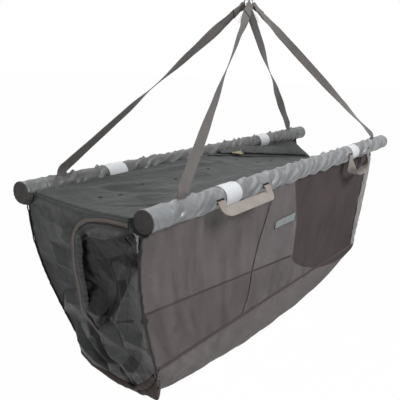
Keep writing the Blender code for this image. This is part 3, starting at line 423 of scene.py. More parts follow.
def waver(u, v, seed=0):
    """Smooth noise from about -1 to 1 with one wave per unit, the same on every run."""
    u, v = np.broadcast_arrays(np.asarray(u, float), np.asarray(v, float))
    low_u, low_v = np.floor(u).astype(np.int64), np.floor(v).astype(np.int64)
    part_u, part_v = u - low_u, v - low_v

    def corner(step_u, step_v):
        number = (low_u + step_u) * 374761393 + (low_v + step_v) * 668265263 + seed * 144269504
        number = (((number ^ (number >> 13)) & LOW_BITS) * 1274126177) & LOW_BITS
        turn = (number ^ (number >> 15)) / LOW_BITS * 2 * pi
        return np.cos(turn) * (part_u - step_u) + np.sin(turn) * (part_v - step_v)

    across = mix(corner(0, 0), corner(1, 0), ease(part_u))
    beyond = mix(corner(0, 1), corner(1, 1), ease(part_u))
    return 1.5 * mix(across, beyond, ease(part_v))


def waves(along, across, *layers):
    """Sum of layers of smooth noise, each given as (height, wave along, wave across, seed)."""
    return sum(height * waver(along / one, across / other, seed) for height, one, other, seed in layers)


def crumple(u, v, size, seed=0):
    """Sharp small folds of stiff coated cloth, from about -1 to 1."""
    total, weight = 0.0, 1.0
    for octave in range(3):
        turn = 0.7 + 1.9 * octave + seed
        along = (u * cos(turn) + v * sin(turn)) / size
        beside = (v * cos(turn) - u * sin(turn)) / size
        total = total + weight * (0.5 - np.abs(waver(along, beside, seed + octave * 7)) * 2)
        weight, size = weight * 0.5, size * 0.52
    return total


def fold_height(u, v, folds):
    """Height of a panel's long folds at its places."""
    total = np.zeros(np.broadcast(u, v).shape)
    for start_u, start_v, end_u, end_v, width, height in folds:
        run_u, run_v = end_u - start_u, end_v - start_v
        share = np.clip(((u - start_u) * run_u + (v - start_v) * run_v) / (run_u ** 2 + run_v ** 2), 0, 1)
        gap = np.hypot(u - start_u - share * run_u, v - start_v - share * run_v)
        total += height * np.exp(-(gap / width) ** 2) * (0.3 + 0.7 * np.sin(pi * share))
    return total


def facet_height(u, v, points):
    """Height between given (u, v, height) points, flat from point to point as crumpled cloth is."""
    places = [Vector(point[:2]) for point in points]
    _, _, triangles, *_ = delaunay_2d_cdt(places, [], [], 0, 1e-6)
    u, v = np.broadcast_arrays(np.asarray(u, float), np.asarray(v, float))
    total = np.zeros(u.shape)
    for one, two, three in triangles:
        (u1, v1, h1), (u2, v2, h2), (u3, v3, h3) = points[one], points[two], points[three]
        area = (v2 - v3) * (u1 - u3) + (u3 - u2) * (v1 - v3)
        first = ((v2 - v3) * (u - u3) + (u3 - u2) * (v - v3)) / area
        second = ((v3 - v1) * (u - u3) + (u1 - u3) * (v - v3)) / area
        inside = (first >= 0) & (second >= 0) & (first + second <= 1)
        total[inside] = (first * h1 + second * h2 + (1 - first - second) * h3)[inside]
    return total


# Meshes from grids of points

def place(s, points):
    """From the frame between the poles to the hook's frame."""
    return np.asarray(points, float) + np.array((-s.hook_shift_x, -s.hook_shift_y, -s.hang_height))


def arc_lengths(points, axis):
    steps = np.linalg.norm(np.diff(points, axis=axis), axis=2)
    total = np.cumsum(steps, axis=axis)
    pad = np.zeros_like(np.take(total, [0], axis=axis))
    return np.concatenate([pad, total], axis=axis)


def flat_map(mesh, places):
    """Gives a mesh's corners their flat places in metres."""
    layer = mesh.uv_layers.new(name="cloth_metres")
    layer.data.foreach_set("uv", np.asarray(places, np.float32).reshape(-1))


def along_line(at, reach, points):
    """Point of a line at a length along it."""
    return np.array([np.interp(at, reach, points[:, axis]) for axis in range(points.shape[1])])


def line_reach(points):
    """Length of a line up to each of its points."""
    return np.concatenate([[0], np.cumsum(np.linalg.norm(np.diff(points, axis=0), axis=1))])


def grid_mesh(name, points, closed=False, keep=None, turned=None):
    """Quad mesh of a grid of points, with a flat map in metres for the weave, and marks from 0 to 1 of how
    much painted shade its cloth gets."""
    rows, columns = points.shape[:2]
    index = np.arange(rows * columns).reshape(rows, columns)
    joined = index.copy()
    if closed:
        joined[:, -1] = joined[:, 0]
    corners = [np.stack([grid[:-1, :-1], grid[1:, :-1], grid[1:, 1:], grid[:-1, 1:]], axis=2).reshape(-1, 4)
               for grid in (joined, index)]
    if keep is not None:
        corners = [corner[keep.reshape(-1)] for corner in corners]
    used, compact = np.unique(corners[0], return_inverse=True)
    faces = compact.reshape(-1, 4)
    mesh = bpy.data.meshes.new(name)
    mesh.from_pydata(points.reshape(-1, 3)[used].tolist(), [], faces.tolist())
    flat = np.stack([arc_lengths(points, 0), arc_lengths(points, 1)], axis=2).reshape(-1, 2)
    flat_map(mesh, flat[corners[1].reshape(-1)])
    if turned is not None:
        # Painted shade marks, from 0 to 1, by which the material darkens the cloth
        marks = mesh.attributes.new("painted_shade", "FLOAT", "POINT")
        marks.data.foreach_set("value", turned.reshape(-1)[used].astype(np.float32))
    mesh.shade_smooth()
    return mesh


def surface_normals(surface, u, v):
    """Unit normals of a surface given as a function of two lengths."""
    step = 0.0015
    along = surface(u + step, v) - surface(u - step, v)
    down = surface(u, v + step) - surface(u, v - step)
    normal = np.cross(along, down)
    return normal / np.linalg.norm(normal, axis=-1, keepdims=True)


def sweep(path, normals, section):
    """Grid of points of a section carried along a path. The section holds (across, out) places."""
    normals = np.broadcast_to(normals, path.shape)
    across = np.cross(normals, np.gradient(path, axis=0))
    across /= np.linalg.norm(across, axis=1, keepdims=True)
    section = np.broadcast_to(section, (len(path), *np.shape(section)[-2:]))
    points = path[:, None] + across[:, None] * section[..., :1] + normals[:, None] * section[..., 1:]
    middle = points.mean(axis=1, keepdims=True)
    ends = [np.repeat(middle[at:at + 1], points.shape[1], axis=1) for at in (0, len(path) - 1)]
    return np.concatenate([ends[0], points, ends[1]])


def flat_section(width, thickness, crown=0.0):
    """Closed outline of a strip, a little crowned, with its underside on the path."""
    parts = np.linspace(-1, 1, 7)
    top = [(part * width / 2, thickness + crown * (1 - part ** 2)) for part in parts]
    low = [(part * width / 2, 0.0) for part in parts[::-1]]
    return np.array(top + low + top[:1])


def round_section(radius, lift, count=10):
    turns = np.linspace(0, 2 * pi, count + 1)
    return to_points(radius * np.cos(turns), lift + radius * np.sin(turns))


def follow_points(table, count):
    """Evenly spaced places along a line through given ones, with its corners eased."""
    table = np.array(table, float)
    reach = line_reach(table)
    even = np.linspace(0, reach[-1], count)
    line = np.stack([np.interp(even, reach, table[:, part]) for part in range(table.shape[1])], axis=-1)
    for _ in range(count // 24):
        line[1:-1] = (line[:-2] + 2 * line[1:-1] + line[2:]) / 4
    return line


def thread_mesh(name, path, normals, pitch):
    """Row of raised stitches along a path."""
    reach = line_reach(path)
    points, faces = [], []
    for spot in np.arange(pitch / 2, reach[-1], pitch):
        faces += [(low, low + 1, low + 4, low + 3)
                  for low in (len(points) + row * 3 + column for row in range(4) for column in range(2))]
        for part, lift in ((-0.36, 0.1), (-0.22, 0.75), (0.0, 1.0), (0.22, 0.75), (0.36, 0.1)):
            at = np.clip(spot + part * pitch, 0, reach[-1])
            normal = unit(along_line(at, reach, normals))
            ahead = along_line(min(at + pitch / 4, reach[-1]), reach, path)
            behind = along_line(max(at - pitch / 4, 0), reach, path)
            across = unit(np.cross(normal, ahead - behind))
            points += [along_line(at, reach, path) + across * STITCH * side + normal * STITCH * up * lift
                       for side, up in ((-0.5, 0.0), (0.0, 0.9), (0.5, 0.0))]
    mesh = bpy.data.meshes.new(name)
    mesh.from_pydata([tuple(point) for point in points], [], faces)
    flat_map(mesh, [(points[loop.vertex_index][0], points[loop.vertex_index][2]) for loop in mesh.loops])
    mesh.shade_smooth()
    return mesh


def show(name, mesh, material, slot, body="sling", stands_for=()):
    """Puts a piece in the scene, on its body and in place of the frame's plain solids."""
    obj = bpy.data.objects.new(name, mesh)
    bpy.context.scene.collection.objects.link(obj)
    mesh.materials.append(finish(material))
    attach(obj, body)
    if stands_for:
        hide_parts(*stands_for)
    return obj


def thicken(obj, thickness):
    modifier = obj.modifiers.new("cloth thickness", "SOLIDIFY")
    modifier.thickness = thickness
    modifier.offset = 0.0


def round_off(obj, thickness):
    """Gives webbing its thickness and its soft edges."""
    thicken(obj, thickness)
    bevel = obj.modifiers.new("soft edges", "BEVEL")
    bevel.width = thickness * 0.35
    bevel.segments = 2
    bevel.limit_method = "ANGLE"


def settle(obj, name):
    """Applies a piece's modifiers up to the one of that name."""
    with bpy.context.temp_override(object=obj, active_object=obj, selected_objects=[obj]):
        while obj.modifiers[0].name != name:
            bpy.ops.object.modifier_apply(modifier=obj.modifiers[0].name)
        bpy.ops.object.modifier_apply(modifier=name)


def show_sheet(s, name, points, smooth, look, thickness, cut, closed=False, keep=None, turned=None, **riding):
    """Shows a sheet of cloth by its places, its material and its thickness; its slot, how it is held and what
    it rests on are not used."""
    piece = show(name, grid_mesh(name, place(s, points), closed, keep, turned), *look, **riding)
    thicken(piece, thickness)
    return piece


def show_line(s, name, path, normals, section, look, **riding):
    """Shows a section carried along a line."""
    return show(name, grid_mesh(name, place(s, sweep(path, normals, section)), True), *look, **riding)


def show_stitches(name, path, normals, pitch, look, **riding):
    """Shows a row of stitches along a line."""
    return show(name, thread_mesh(name, path, np.broadcast_to(normals, path.shape), pitch), *look, **riding)


def grid(rows, columns):
    """Shares from 0 to 1 down and across a grid of cells."""
    return np.meshgrid(np.linspace(0, 1, rows + 1), np.linspace(0, 1, columns + 1), indexing="ij")


# Materials

def fill(tree, node, inputs):
    """Fills a node's inputs with values, other nodes' outputs, or nodes for their first output."""
    for socket, value in inputs.items():
        value = value.outputs[0] if isinstance(value, bpy.types.Node) else value
        if isinstance(value, bpy.types.NodeSocket):
            tree.links.new(value, node.inputs[socket])
        else:
            node.inputs[socket].default_value = value


def add_node(tree, kind, inputs=(), **settings):
    """Adds a shader node with its settings and fills its inputs."""
    node = tree.nodes.new("ShaderNode" + kind)
    for option, value in settings.items():
        setattr(node, option, value)
    fill(tree, node, dict(inputs))
    return node


def new_material(name, colour, roughness, metallic=0.0):
    """A plain material, with the cloth's flat map in metres and the piece's own solid map."""
    material = bpy.data.materials.new(name)
    material.use_nodes = True
    tree = material.node_tree
    shader = tree.nodes["Principled BSDF"]
    fill(tree, shader, {"Base Color": (*colour, 1.0), "Roughness": roughness, "Metallic": metallic})
    flat = add_node(tree, "UVMap", uv_map="cloth_metres").outputs["UV"]
    solid = add_node(tree, "TexCoord").outputs["Object"]
    return material, tree, shader, flat, solid


# A wave texture at a scale of 1 repeats every 0.314 of its coordinates
WAVE = 0.31416


def coated_cloth(name, base, painted_shade, roughness, crease=0.5, sheen=0.1, thread=0.0018, gloss=0.5):
    """Plain-weave cloth with a polyurethane coat: a soft satin surface with rubbed patches, small
    hard creases and, at its real 0.3 mm too fine to show, a weave that is drawn 1.8 mm wide."""
    material, tree, shader, flat, solid = new_material(name, base, roughness)
    warp = add_node(tree, "TexWave", {"Vector": flat, "Scale": WAVE / thread}, bands_direction="X")
    weft = add_node(tree, "TexWave", {"Vector": flat, "Scale": WAVE / thread}, bands_direction="Y")
    weave = add_node(tree, "Math", {0: warp.outputs["Fac"], 1: weft.outputs["Fac"]}, operation="MULTIPLY")
    patches = add_node(tree, "TexNoise", {"Vector": solid, "Scale": 1 / 0.055, "Detail": 4.0})
    dust = add_node(tree, "TexNoise", {"Vector": solid, "Scale": 1 / 0.008, "Detail": 5.0})
    uneven = add_node(tree, "Math", {0: patches.outputs["Fac"], 1: dust.outputs["Fac"]}, operation="ADD")
    tone = add_node(tree, "MapRange", {"Value": uneven, "From Min": 0.6, "From Max": 1.4,
                                       "To Min": 0.88, "To Max": 1.12})
    threads = add_node(tree, "MapRange", {"Value": weave, "To Min": 0.97, "To Max": 1.03})
    level = add_node(tree, "Math", {0: tone, 1: threads}, operation="MULTIPLY")
    # Painted shade: the colour is mixed towards the painted shade colour by the piece's painted shade marks
    turned = add_node(tree, "Attribute", attribute_name="painted_shade")
    sides = add_node(tree, "Mix", {0: turned.outputs["Fac"], 6: (*base, 1.0), 7: (*painted_shade, 1.0)},
                     data_type="RGBA")
    tinted = add_node(tree, "VectorMath", {0: sides.outputs[2], "Scale": level}, operation="SCALE")
    rubbed = add_node(tree, "MapRange", {"Value": patches.outputs["Fac"], "From Min": 0.3,
                                         "From Max": 0.7, "To Min": roughness - 0.07,
                                         "To Max": roughness + 0.07})
    folds = add_node(tree, "TexNoise", {"Vector": solid, "Scale": 1 / 0.026, "Detail": 2.0,
                                        "Distortion": 0.6})
    creased = add_node(tree, "Bump", {"Height": folds.outputs["Fac"], "Strength": crease,
                                      "Distance": 0.008})
    raised = add_node(tree, "Bump", {"Height": weave, "Strength": 0.12, "Distance": 0.0003,
                                     "Normal": creased})
    fill(tree, shader, {"Base Color": tinted, "Roughness": rubbed, "Normal": raised,
                        "Specular IOR Level": gloss, "Sheen Weight": sheen, "Sheen Roughness": 0.4})
    return material


def knitted_mesh(name, base, cover):
    """Warp-knitted polyester mesh. Its 1 mm holes are too fine to show, so they are drawn 3 mm
    apart, as soft dots, and what they let through is an even clearness of its two faces."""
    material, tree, shader, flat, solid = new_material(name, base, 0.85)
    rows = add_node(tree, "TexWave", {"Vector": flat, "Scale": WAVE / 0.0030}, bands_direction="X")
    wales = add_node(tree, "TexWave", {"Vector": flat, "Scale": WAVE / 0.0018}, bands_direction="Y")
    dots = add_node(tree, "Math", {0: rows.outputs["Fac"], 1: wales.outputs["Fac"]}, operation="MULTIPLY")
    # Upright streaks stand for the hanging mesh's drape folds: painted light and shade in its tone, and
    # bunched and stretched mesh in its clearness
    hanging = add_node(tree, "Mapping", {"Vector": flat, "Scale": (1.0, 0.16, 1.0),
                                         "Rotation": (0.0, 0.0, 0.22)})
    streaks = add_node(tree, "TexNoise", {"Vector": hanging, "Scale": 1 / 0.030, "Detail": 3.0,
                                          "Distortion": 0.4})
    cloud = add_node(tree, "TexNoise", {"Vector": solid, "Scale": 1 / 0.090, "Detail": 3.0})
    uneven = add_node(tree, "Math", {0: cloud.outputs["Fac"], 1: streaks.outputs["Fac"]}, operation="ADD")
    tone = add_node(tree, "MapRange", {"Value": uneven, "From Min": 0.7, "From Max": 1.3,
                                       "To Min": 0.82, "To Max": 1.20})
    threads = add_node(tree, "MapRange", {"Value": dots, "To Min": 1.10, "To Max": 0.80})
    level = add_node(tree, "Math", {0: tone, 1: threads}, operation="MULTIPLY")
    tinted = add_node(tree, "VectorMath", {0: (*base,), "Scale": level}, operation="SCALE")
    folds = add_node(tree, "TexNoise", {"Vector": solid, "Scale": 1 / 0.030, "Detail": 3.0})
    creased = add_node(tree, "Bump", {"Height": folds.outputs["Fac"], "Strength": 0.3, "Distance": 0.005})
    knit = add_node(tree, "Bump", {"Height": dots, "Strength": 0.4, "Distance": 0.0004, "Normal": creased})
    solid_share = 1 - sqrt(1 - cover)
    clear = add_node(tree, "MapRange", {"Value": streaks.outputs["Fac"], "From Min": 0.3, "From Max": 0.7,
                                        "To Min": min(1.0, solid_share * 1.10), "To Max": solid_share * 0.88})
    fill(tree, shader, {"Base Color": tinted, "Normal": knit, "Alpha": clear, "Specular IOR Level": 0.25})
    return material


def woven_webbing(name, base):
    """Polypropylene webbing, woven and calendered: ribs 2.4 mm wide along its length, crossed by a
    3 mm twill, dull with a faint sheen of its threads."""
    material, tree, shader, flat, solid = new_material(name, base, 0.72)
    ribs = add_node(tree, "TexWave", {"Vector": flat, "Scale": WAVE / 0.0024}, bands_direction="Y")
    twill = add_node(tree, "TexWave", {"Vector": flat, "Scale": WAVE / 0.0030}, bands_direction="DIAGONAL")
    pattern = add_node(tree, "Math", {0: ribs.outputs["Fac"], 1: twill.outputs["Fac"]},
                       operation="MULTIPLY")
    cloud = add_node(tree, "TexNoise", {"Vector": solid, "Scale": 1 / 0.040, "Detail": 4.0})
    tone = add_node(tree, "MapRange", {"Value": cloud.outputs["Fac"], "From Min": 0.3, "From Max": 0.7,
                                       "To Min": 0.88, "To Max": 1.12})
    threads = add_node(tree, "MapRange", {"Value": pattern, "To Min": 0.93, "To Max": 1.05})
    level = add_node(tree, "Math", {0: tone, 1: threads}, operation="MULTIPLY")
    tinted = add_node(tree, "VectorMath", {0: (*base,), "Scale": level}, operation="SCALE")
    raised = add_node(tree, "Bump", {"Height": pattern, "Strength": 0.3, "Distance": 0.0006})
    fill(tree, shader, {"Base Color": tinted, "Normal": raised, "Sheen Weight": 0.15})
    return material


def reflective_tape(name, base):
    """Retroreflective tape, glass beads laid in a grey-white film: a bright even surface with a
    bead grain drawn 1.6 mm wide, faint ribs of its backing and small scuffs."""
    material, tree, shader, flat, solid = new_material(name, base, 0.40)
    beads = add_node(tree, "TexNoise", {"Vector": solid, "Scale": 1 / 0.0016, "Detail": 2.0})
    scuffs = add_node(tree, "TexNoise", {"Vector": solid, "Scale": 1 / 0.020, "Detail": 4.0})
    mixed = add_node(tree, "Math", {0: beads.outputs["Fac"], 1: scuffs.outputs["Fac"]}, operation="ADD")
    tone = add_node(tree, "MapRange", {"Value": mixed, "From Min": 0.7, "From Max": 1.3,
                                       "To Min": 0.88, "To Max": 1.04})
    tinted = add_node(tree, "VectorMath", {0: (*base,), "Scale": tone}, operation="SCALE")
    ribs = add_node(tree, "TexWave", {"Vector": flat, "Scale": WAVE / 0.0030}, bands_direction="Y")
    raised = add_node(tree, "Bump", {"Height": ribs.outputs["Fac"], "Strength": 0.25, "Distance": 0.0004})
    fill(tree, shader, {"Base Color": tinted, "Normal": raised})
    return material


def drawn_metal(name, base, roughness, mark):
    """Metal drawn through a die: faint long marks along a clean surface."""
    material, tree, shader, _, solid = new_material(name, base, roughness, 1.0)
    stretched = add_node(tree, "Mapping", {"Vector": solid, "Scale": (0.1, 1.0, 1.0)})
    marks = add_node(tree, "TexNoise", {"Vector": stretched, "Scale": 1 / mark, "Detail": 4.0})
    worn = add_node(tree, "MapRange", {"Value": marks.outputs["Fac"], "From Min": 0.3, "From Max": 0.7,
                                       "To Min": roughness * 0.75, "To Max": roughness * 1.3})
    tone = add_node(tree, "MapRange", {"Value": marks.outputs["Fac"], "To Min": 0.85, "To Max": 1.1})
    tinted = add_node(tree, "VectorMath", {0: (*base,), "Scale": tone}, operation="SCALE")
    fill(tree, shader, {"Roughness": worn, "Base Color": tinted})
    return material


def moulded_plastic(name, base, roughness, grain):
    """Moulded plastic or cut foam: an even colour with the fine grain of its mould or its cells."""
    material, tree, shader, _, solid = new_material(name, base, roughness)
    pits = add_node(tree, "TexNoise", {"Vector": solid, "Scale": 1 / grain, "Detail": 3.0})
    tone = add_node(tree, "MapRange", {"Value": pits.outputs["Fac"], "To Min": 0.8, "To Max": 1.2})
    tinted = add_node(tree, "VectorMath", {0: (*base,), "Scale": tone}, operation="SCALE")
    raised = add_node(tree, "Bump", {"Height": pits.outputs["Fac"], "Strength": 0.3, "Distance": grain / 4})
    fill(tree, shader, {"Base Color": tinted, "Normal": raised})
    return material


def spiral_coil(name, base):
    """Nylon monofilament wound into zip teeth: rounded ribs across the coil, 1.5 mm apart, with a
    soft gloss on each."""
    material, tree, shader, flat, _ = new_material(name, base, 0.42)
    teeth = add_node(tree, "TexWave", {"Vector": flat, "Scale": WAVE / 0.0015}, bands_direction="X")
    tone = add_node(tree, "MapRange", {"Value": teeth.outputs["Fac"], "To Min": 0.45, "To Max": 1.25})
    tinted = add_node(tree, "VectorMath", {0: (*base,), "Scale": tone}, operation="SCALE")
    raised = add_node(tree, "Bump", {"Height": teeth.outputs["Fac"], "Strength": 0.8, "Distance": 0.0006})
    fill(tree, shader, {"Base Color": tinted, "Normal": raised})
    return material


MATERIALS = {}


def finish(name):
    """The material of that name, made once from the sling's colours."""
    if name not in MATERIALS:
        MATERIALS[name] = FINISHES[name](name, bpy.context.scene.sling_colours)
    return MATERIALS[name]


FINISHES = {
    # Coated nylon with its glazed side out: a silvery sheen along the gathers
    "glazed_nylon_front_sleeve": lambda name, c: coated_cloth(name, c.sleeve, c.shade_colour, 0.36, 0.4, 0.1),
    # The same cloth, painted darker as painted shade for the shade it hangs in
    "glazed_nylon_back_sleeve": lambda name, c: coated_cloth(name, c.back_sleeve, c.shade_colour, 0.40, 0.4, 0.1),
    # Two layers of it, sewn tight: smoother and a little duller
    "glazed_nylon_front_cuff": lambda name, c: coated_cloth(name, c.cuff, c.shade_colour, 0.42, 0.3, 0.1),
    # The back cuff takes the back sleeve's painted shade colour
    "glazed_nylon_back_cuff": lambda name, c: coated_cloth(name, c.back_sleeve, c.shade_colour, 0.42, 0.3, 0.1),
    # Its dull side out: dark, with no gloss
    "dull_nylon_end_disc": lambda name, c: coated_cloth(name, c.disc, c.disc, 0.85, 0.5, 0.0),
    # Coated polyester, matt and taut
    "coated_polyester_lid": lambda name, c: coated_cloth(name, c.lid, c.shade_colour, 0.60, 0.35, gloss=0.2),
    # Coated polyester, stiff, with sharp creases that catch the light
    "coated_polyester_end": lambda name, c: coated_cloth(name, c.end, c.shade_colour, 0.42, 0.4, 0.0, gloss=0.25),
    # Folded narrow cloth over raw edges: dark and crinkled
    "folded_polyester_binding": lambda name, c: coated_cloth(name, c.binding, c.disc, 0.80, 0.8, 0.0, 0.0012),
    # The zip's cover strip, gathered by its stitching
    "gathered_zip_cover": lambda name, c: coated_cloth(name, c.cover, c.disc, 0.62, 0.8, 0.05),
    "warp_knit_close": lambda name, c: knitted_mesh(name, c.wall, 0.88),
    "warp_knit_open": lambda name, c: knitted_mesh(name, c.wall, 0.82),
    "warp_knit_back": lambda name, c: knitted_mesh(name, c.wall, 0.62),
    "warp_knit_floor": lambda name, c: knitted_mesh(name, c.floor, 0.74),
    # Two layers of the mesh, sewn together: no longer clear
    "warp_knit_doubled": lambda name, c: coated_cloth(name, c.hem, c.disc, 0.85, 0.9, 0.0, 0.0020, 0.2),
    "polypropylene_strap_webbing": lambda name, c: woven_webbing(name, c.strap),
    "polypropylene_handle_webbing": lambda name, c: woven_webbing(name, c.handle),
    "polyester_tab_webbing": lambda name, c: woven_webbing(name, c.tab),
    "glass_bead_tape": lambda name, c: reflective_tape(name, c.band),
    # Fine taffeta with a cut and folded edge
    "taffeta_label": lambda name, c: coated_cloth(name, c.label, c.label, 0.55, 0.2, 0.1, 0.0009),
    # The end's cloth where it is pulled round the front corner, worn pale
    "coated_polyester_edge": lambda name, c: coated_cloth(name, c.edge, c.shade_colour, 0.45, 0.6),
    "frayed_polyester": lambda name, c: coated_cloth(name, c.frayed, c.edge, 0.50, 0.9, 0.1, 0.0012),
    "pale_polyester_thread": lambda name, c: moulded_plastic(name, c.pale_thread, 0.6, 0.0010),
    "polyester_thread": lambda name, c: moulded_plastic(name, c.thread, 0.6, 0.0010),
    "nylon_coil": lambda name, c: spiral_coil(name, c.coil),
    # The same coil, painted in the slider's dark colour as painted shadow under the lid zip's cover
    "dark_nylon_coil": lambda name, c: spiral_coil(name, c.slider),
    # Zinc cast in a die, then painted: smooth and dark
    "painted_zinc_slider": lambda name, c: moulded_plastic(name, c.slider, 0.35, 0.0020),
    "stainless_wire": lambda name, c: drawn_metal(name, c.steel, 0.28, 0.002),
    "drawn_aluminium_tube": lambda name, c: drawn_metal(name, c.tube, 0.38, 0.004),
    "moulded_polypropylene": lambda name, c: moulded_plastic(name, c.plug, 0.5, 0.0008),
    "closed_cell_foam": lambda name, c: moulded_plastic(name, c.foam, 0.9, 0.0012),
}


# Where things are, in the frame midway between the two poles' centres

def side_of(name):
    """Signs of a corner's place: along the poles and across them."""
    return (-1 if "left" in name else 1), (-1 if "front" in name else 1)


def tube_centre(s, name, along=0.0):
    return np.array((along, side_of(name)[1] * s.half_spacing, 0.0))


def ring_frame(s, name):
    """Centre of a ring, the way its straps hang, and its own axis."""
    across = side_of(name)[1]
    top = np.array((s.hook_shift_x, s.hook_shift_y + across * s.ring_spread, s.hang_height))
    knee = np.array((s.hook_shift_x, across * s.half_spacing, s.sleeve_radius))
    hang = unit(knee - top)
    return top + hang * (s.ring_radius - s.ring_wire), hang, np.cross(X_AXIS, hang)


# Bag surfaces: depth is measured down from the poles' centres

def half_width(s, depth):
    share = np.clip((depth - s.hem) / (s.seam_front_left - s.hem), 0, 1)
    return mix(s.half_spacing, s.half_floor, share)


def rear_shift(s, across):
    return s.rear_shift_depth * (across + s.half_spacing) / s.pole_spacing


def left_chord(s, depth):
    return -mix(s.left_top, s.left_bottom, (depth - s.hem) / (s.end_depth - s.hem))


def left_bulge(s, depth):
    share = np.clip((depth - s.hem) / (s.end_depth - s.hem), 0, 1)
    return s.left_bulge_depth * 6.75 * share * (1 - share) ** 2


def fold_across(s, depth):
    (top_y, top_z), (low_y, low_z) = DOOR_FOLD_SHARES
    return mix(top_y, low_y, (depth / s.end_depth - top_z) / (low_z - top_z)) * s.half_spacing


def left_end_x(s, across, depth):
    """The left end is straight along the door's fold and bulges out to its edges."""
    fold = fold_across(s, depth)
    edge = half_width(s, depth) * np.where(across > fold, 1, -1)
    away = np.minimum(1.0, np.abs((across - fold) / (edge - fold)))
    return left_chord(s, depth) - left_bulge(s, depth) * away ** 2 + rear_shift(s, across)


def right_end_x(s, across, depth):
    share = np.clip((depth - s.hem) / (s.floor_right - s.hem), 0, 1)
    return s.right_top + s.right_bulge_depth * np.sin(pi * share * 0.88) ** 0.6 + rear_shift(s, across)


def bag_point(s, share, across, depth):
    """Point of a long panel at a share of the way from the left end to the right end."""
    left = left_end_x(s, across, depth) + s.panel_gap
    right = right_end_x(s, across, depth) - s.panel_gap
    return to_points(mix(left, right, share), across, -depth)


def seam_depth(s, share, rear):
    if rear:
        return mix(s.seam_rear_left, s.seam_rear_right, share)
    return mix(s.seam_front_left, s.seam_front_right, share)


def wall_points(s, side, share, down):
    """Places of a long wall without its folds."""
    depth = mix(s.hem, seam_depth(s, share, side == "back") - s.seam_gap / 2, down)
    return bag_point(s, share, side_of(side)[1] * half_width(s, depth), depth)


def wall_cloth(s, side, share, down):
    """Places of a long wall with the folds that it hangs in."""
    points = wall_points(s, side, share, down)
    folds = FRONT_WALL_FOLDS if side == "front" else BACK_WALL_FOLDS
    along, depth = points[..., 0], -points[..., 2]
    height = fold_height(along, depth, folds)
    height += waves(along, depth, (0.0016, 0.085, 0.120, 3), (0.0008, 0.022, 0.060, 5))
    points[..., 1] += side_of(side)[1] * height * hold(down, 0.10, 0.12) * hold(share, 0.02, 0.02)
    return points


def floor_depth(s, share, over):
    """Depth of the floor's trough at shares of its length and of its width."""
    level = mix(seam_depth(s, share, False), seam_depth(s, share, True), over)
    lowest = mix(s.floor_left, s.floor_right, share)
    lowest = lowest + s.floor_belly * np.maximum(4 * share * (1 - share), 0) ** 0.8
    belly = lowest - mix(seam_depth(s, share, False), seam_depth(s, share, True), 0.5)
    return level + s.seam_gap / 2 + belly * np.maximum(4 * over * (1 - over), 0) ** 0.65


def floor_points(s, share, over):
    return bag_point(s, share, mix(-s.half_floor, s.half_floor, over), floor_depth(s, share, over))


def floor_cloth(s, share, over):
    points = floor_points(s, share, over)
    along, across = points[..., 0], points[..., 1]
    wave = waves(along, across, (0.0035, 0.090, 0.200, 11), (0.0012, 0.030, 0.080, 12))
    sag = s.floor_sag * np.maximum(4 * over * (1 - over), 0) ** 0.8 * hold(share, 0.03, 0.10)
    points[..., 2] += wave * hold(over, 0.10, 0.10) * hold(share, 0.02, 0.02) - sag
    return points


def zip_line(s, along):
    """Across and height of the lid's rear zip at a place along the poles."""
    share = (along + s.zip_break) / (s.right_top + s.zip_break)
    start = s.lid_edge - s.cloth * 3
    across = np.minimum(s.lid_edge, mix(start, s.zip_end_y, share))
    return across, s.lid_rise - s.zip_end_drop * np.maximum(0.0, share)


def lid_height(s, along, share):
    """Height of the lid at a share of its way from the front pole to the zip."""
    reach = (along + s.half_length) / (s.right_top + s.half_length)
    sag = mix(s.lid_sag_left, s.lid_sag_right, reach ** 2)
    return mix(s.lid_rise, zip_line(s, along)[1], share) - sag * 4 * share * (1 - share)


def lid_points(s, share, over):
    right = s.right_top - s.panel_gap
    run = mix(-s.half_length, right, share)
    edge = zip_line(s, run)[0] - s.seam_gap / 2
    across = mix(-s.lid_edge, edge, over)
    left = left_chord(s, s.hem) + rear_shift(s, across) - s.cloth / 2
    along = mix(left, right + rear_shift(s, across), share)
    return to_points(along, across, lid_height(s, run, over))


def flap_points(s, share, over):
    along = mix(-s.zip_break, s.right_top - s.panel_gap, share)
    across, height = zip_line(s, along)
    turn = np.radians(mix(4, 50, share))
    reach = s.hem + s.cloth / 2
    seat_y, seat_z = s.half_spacing - reach * np.cos(turn), -reach * np.sin(turn)
    start = across + s.seam_gap / 2
    places = (along + rear_shift(s, across), mix(start, seat_y, over), mix(height, seat_z, over))
    return to_points(*places)


# Sleeves, cuffs and bands

def calm_places(s, side):
    """Centres and half widths of all that lies on a sleeve or comes through it."""
    spots = [(s.half_length * share, s.band_width / 2) for share in BAND_SHARES.values()]
    for name, pair in HANDLE_SHARES.items():
        if name.startswith(side):
            spots += [(s.half_length * share, s.webbing_width * 0.35) for share in pair]
    spots += [(way * STRAP_SHARE * s.half_length, s.webbing_width * 0.35) for way in (-1, 1)]
    spots += [(way * (s.half_length - s.cuff_length), 0.0) for way in (-1, 1)]
    return spots


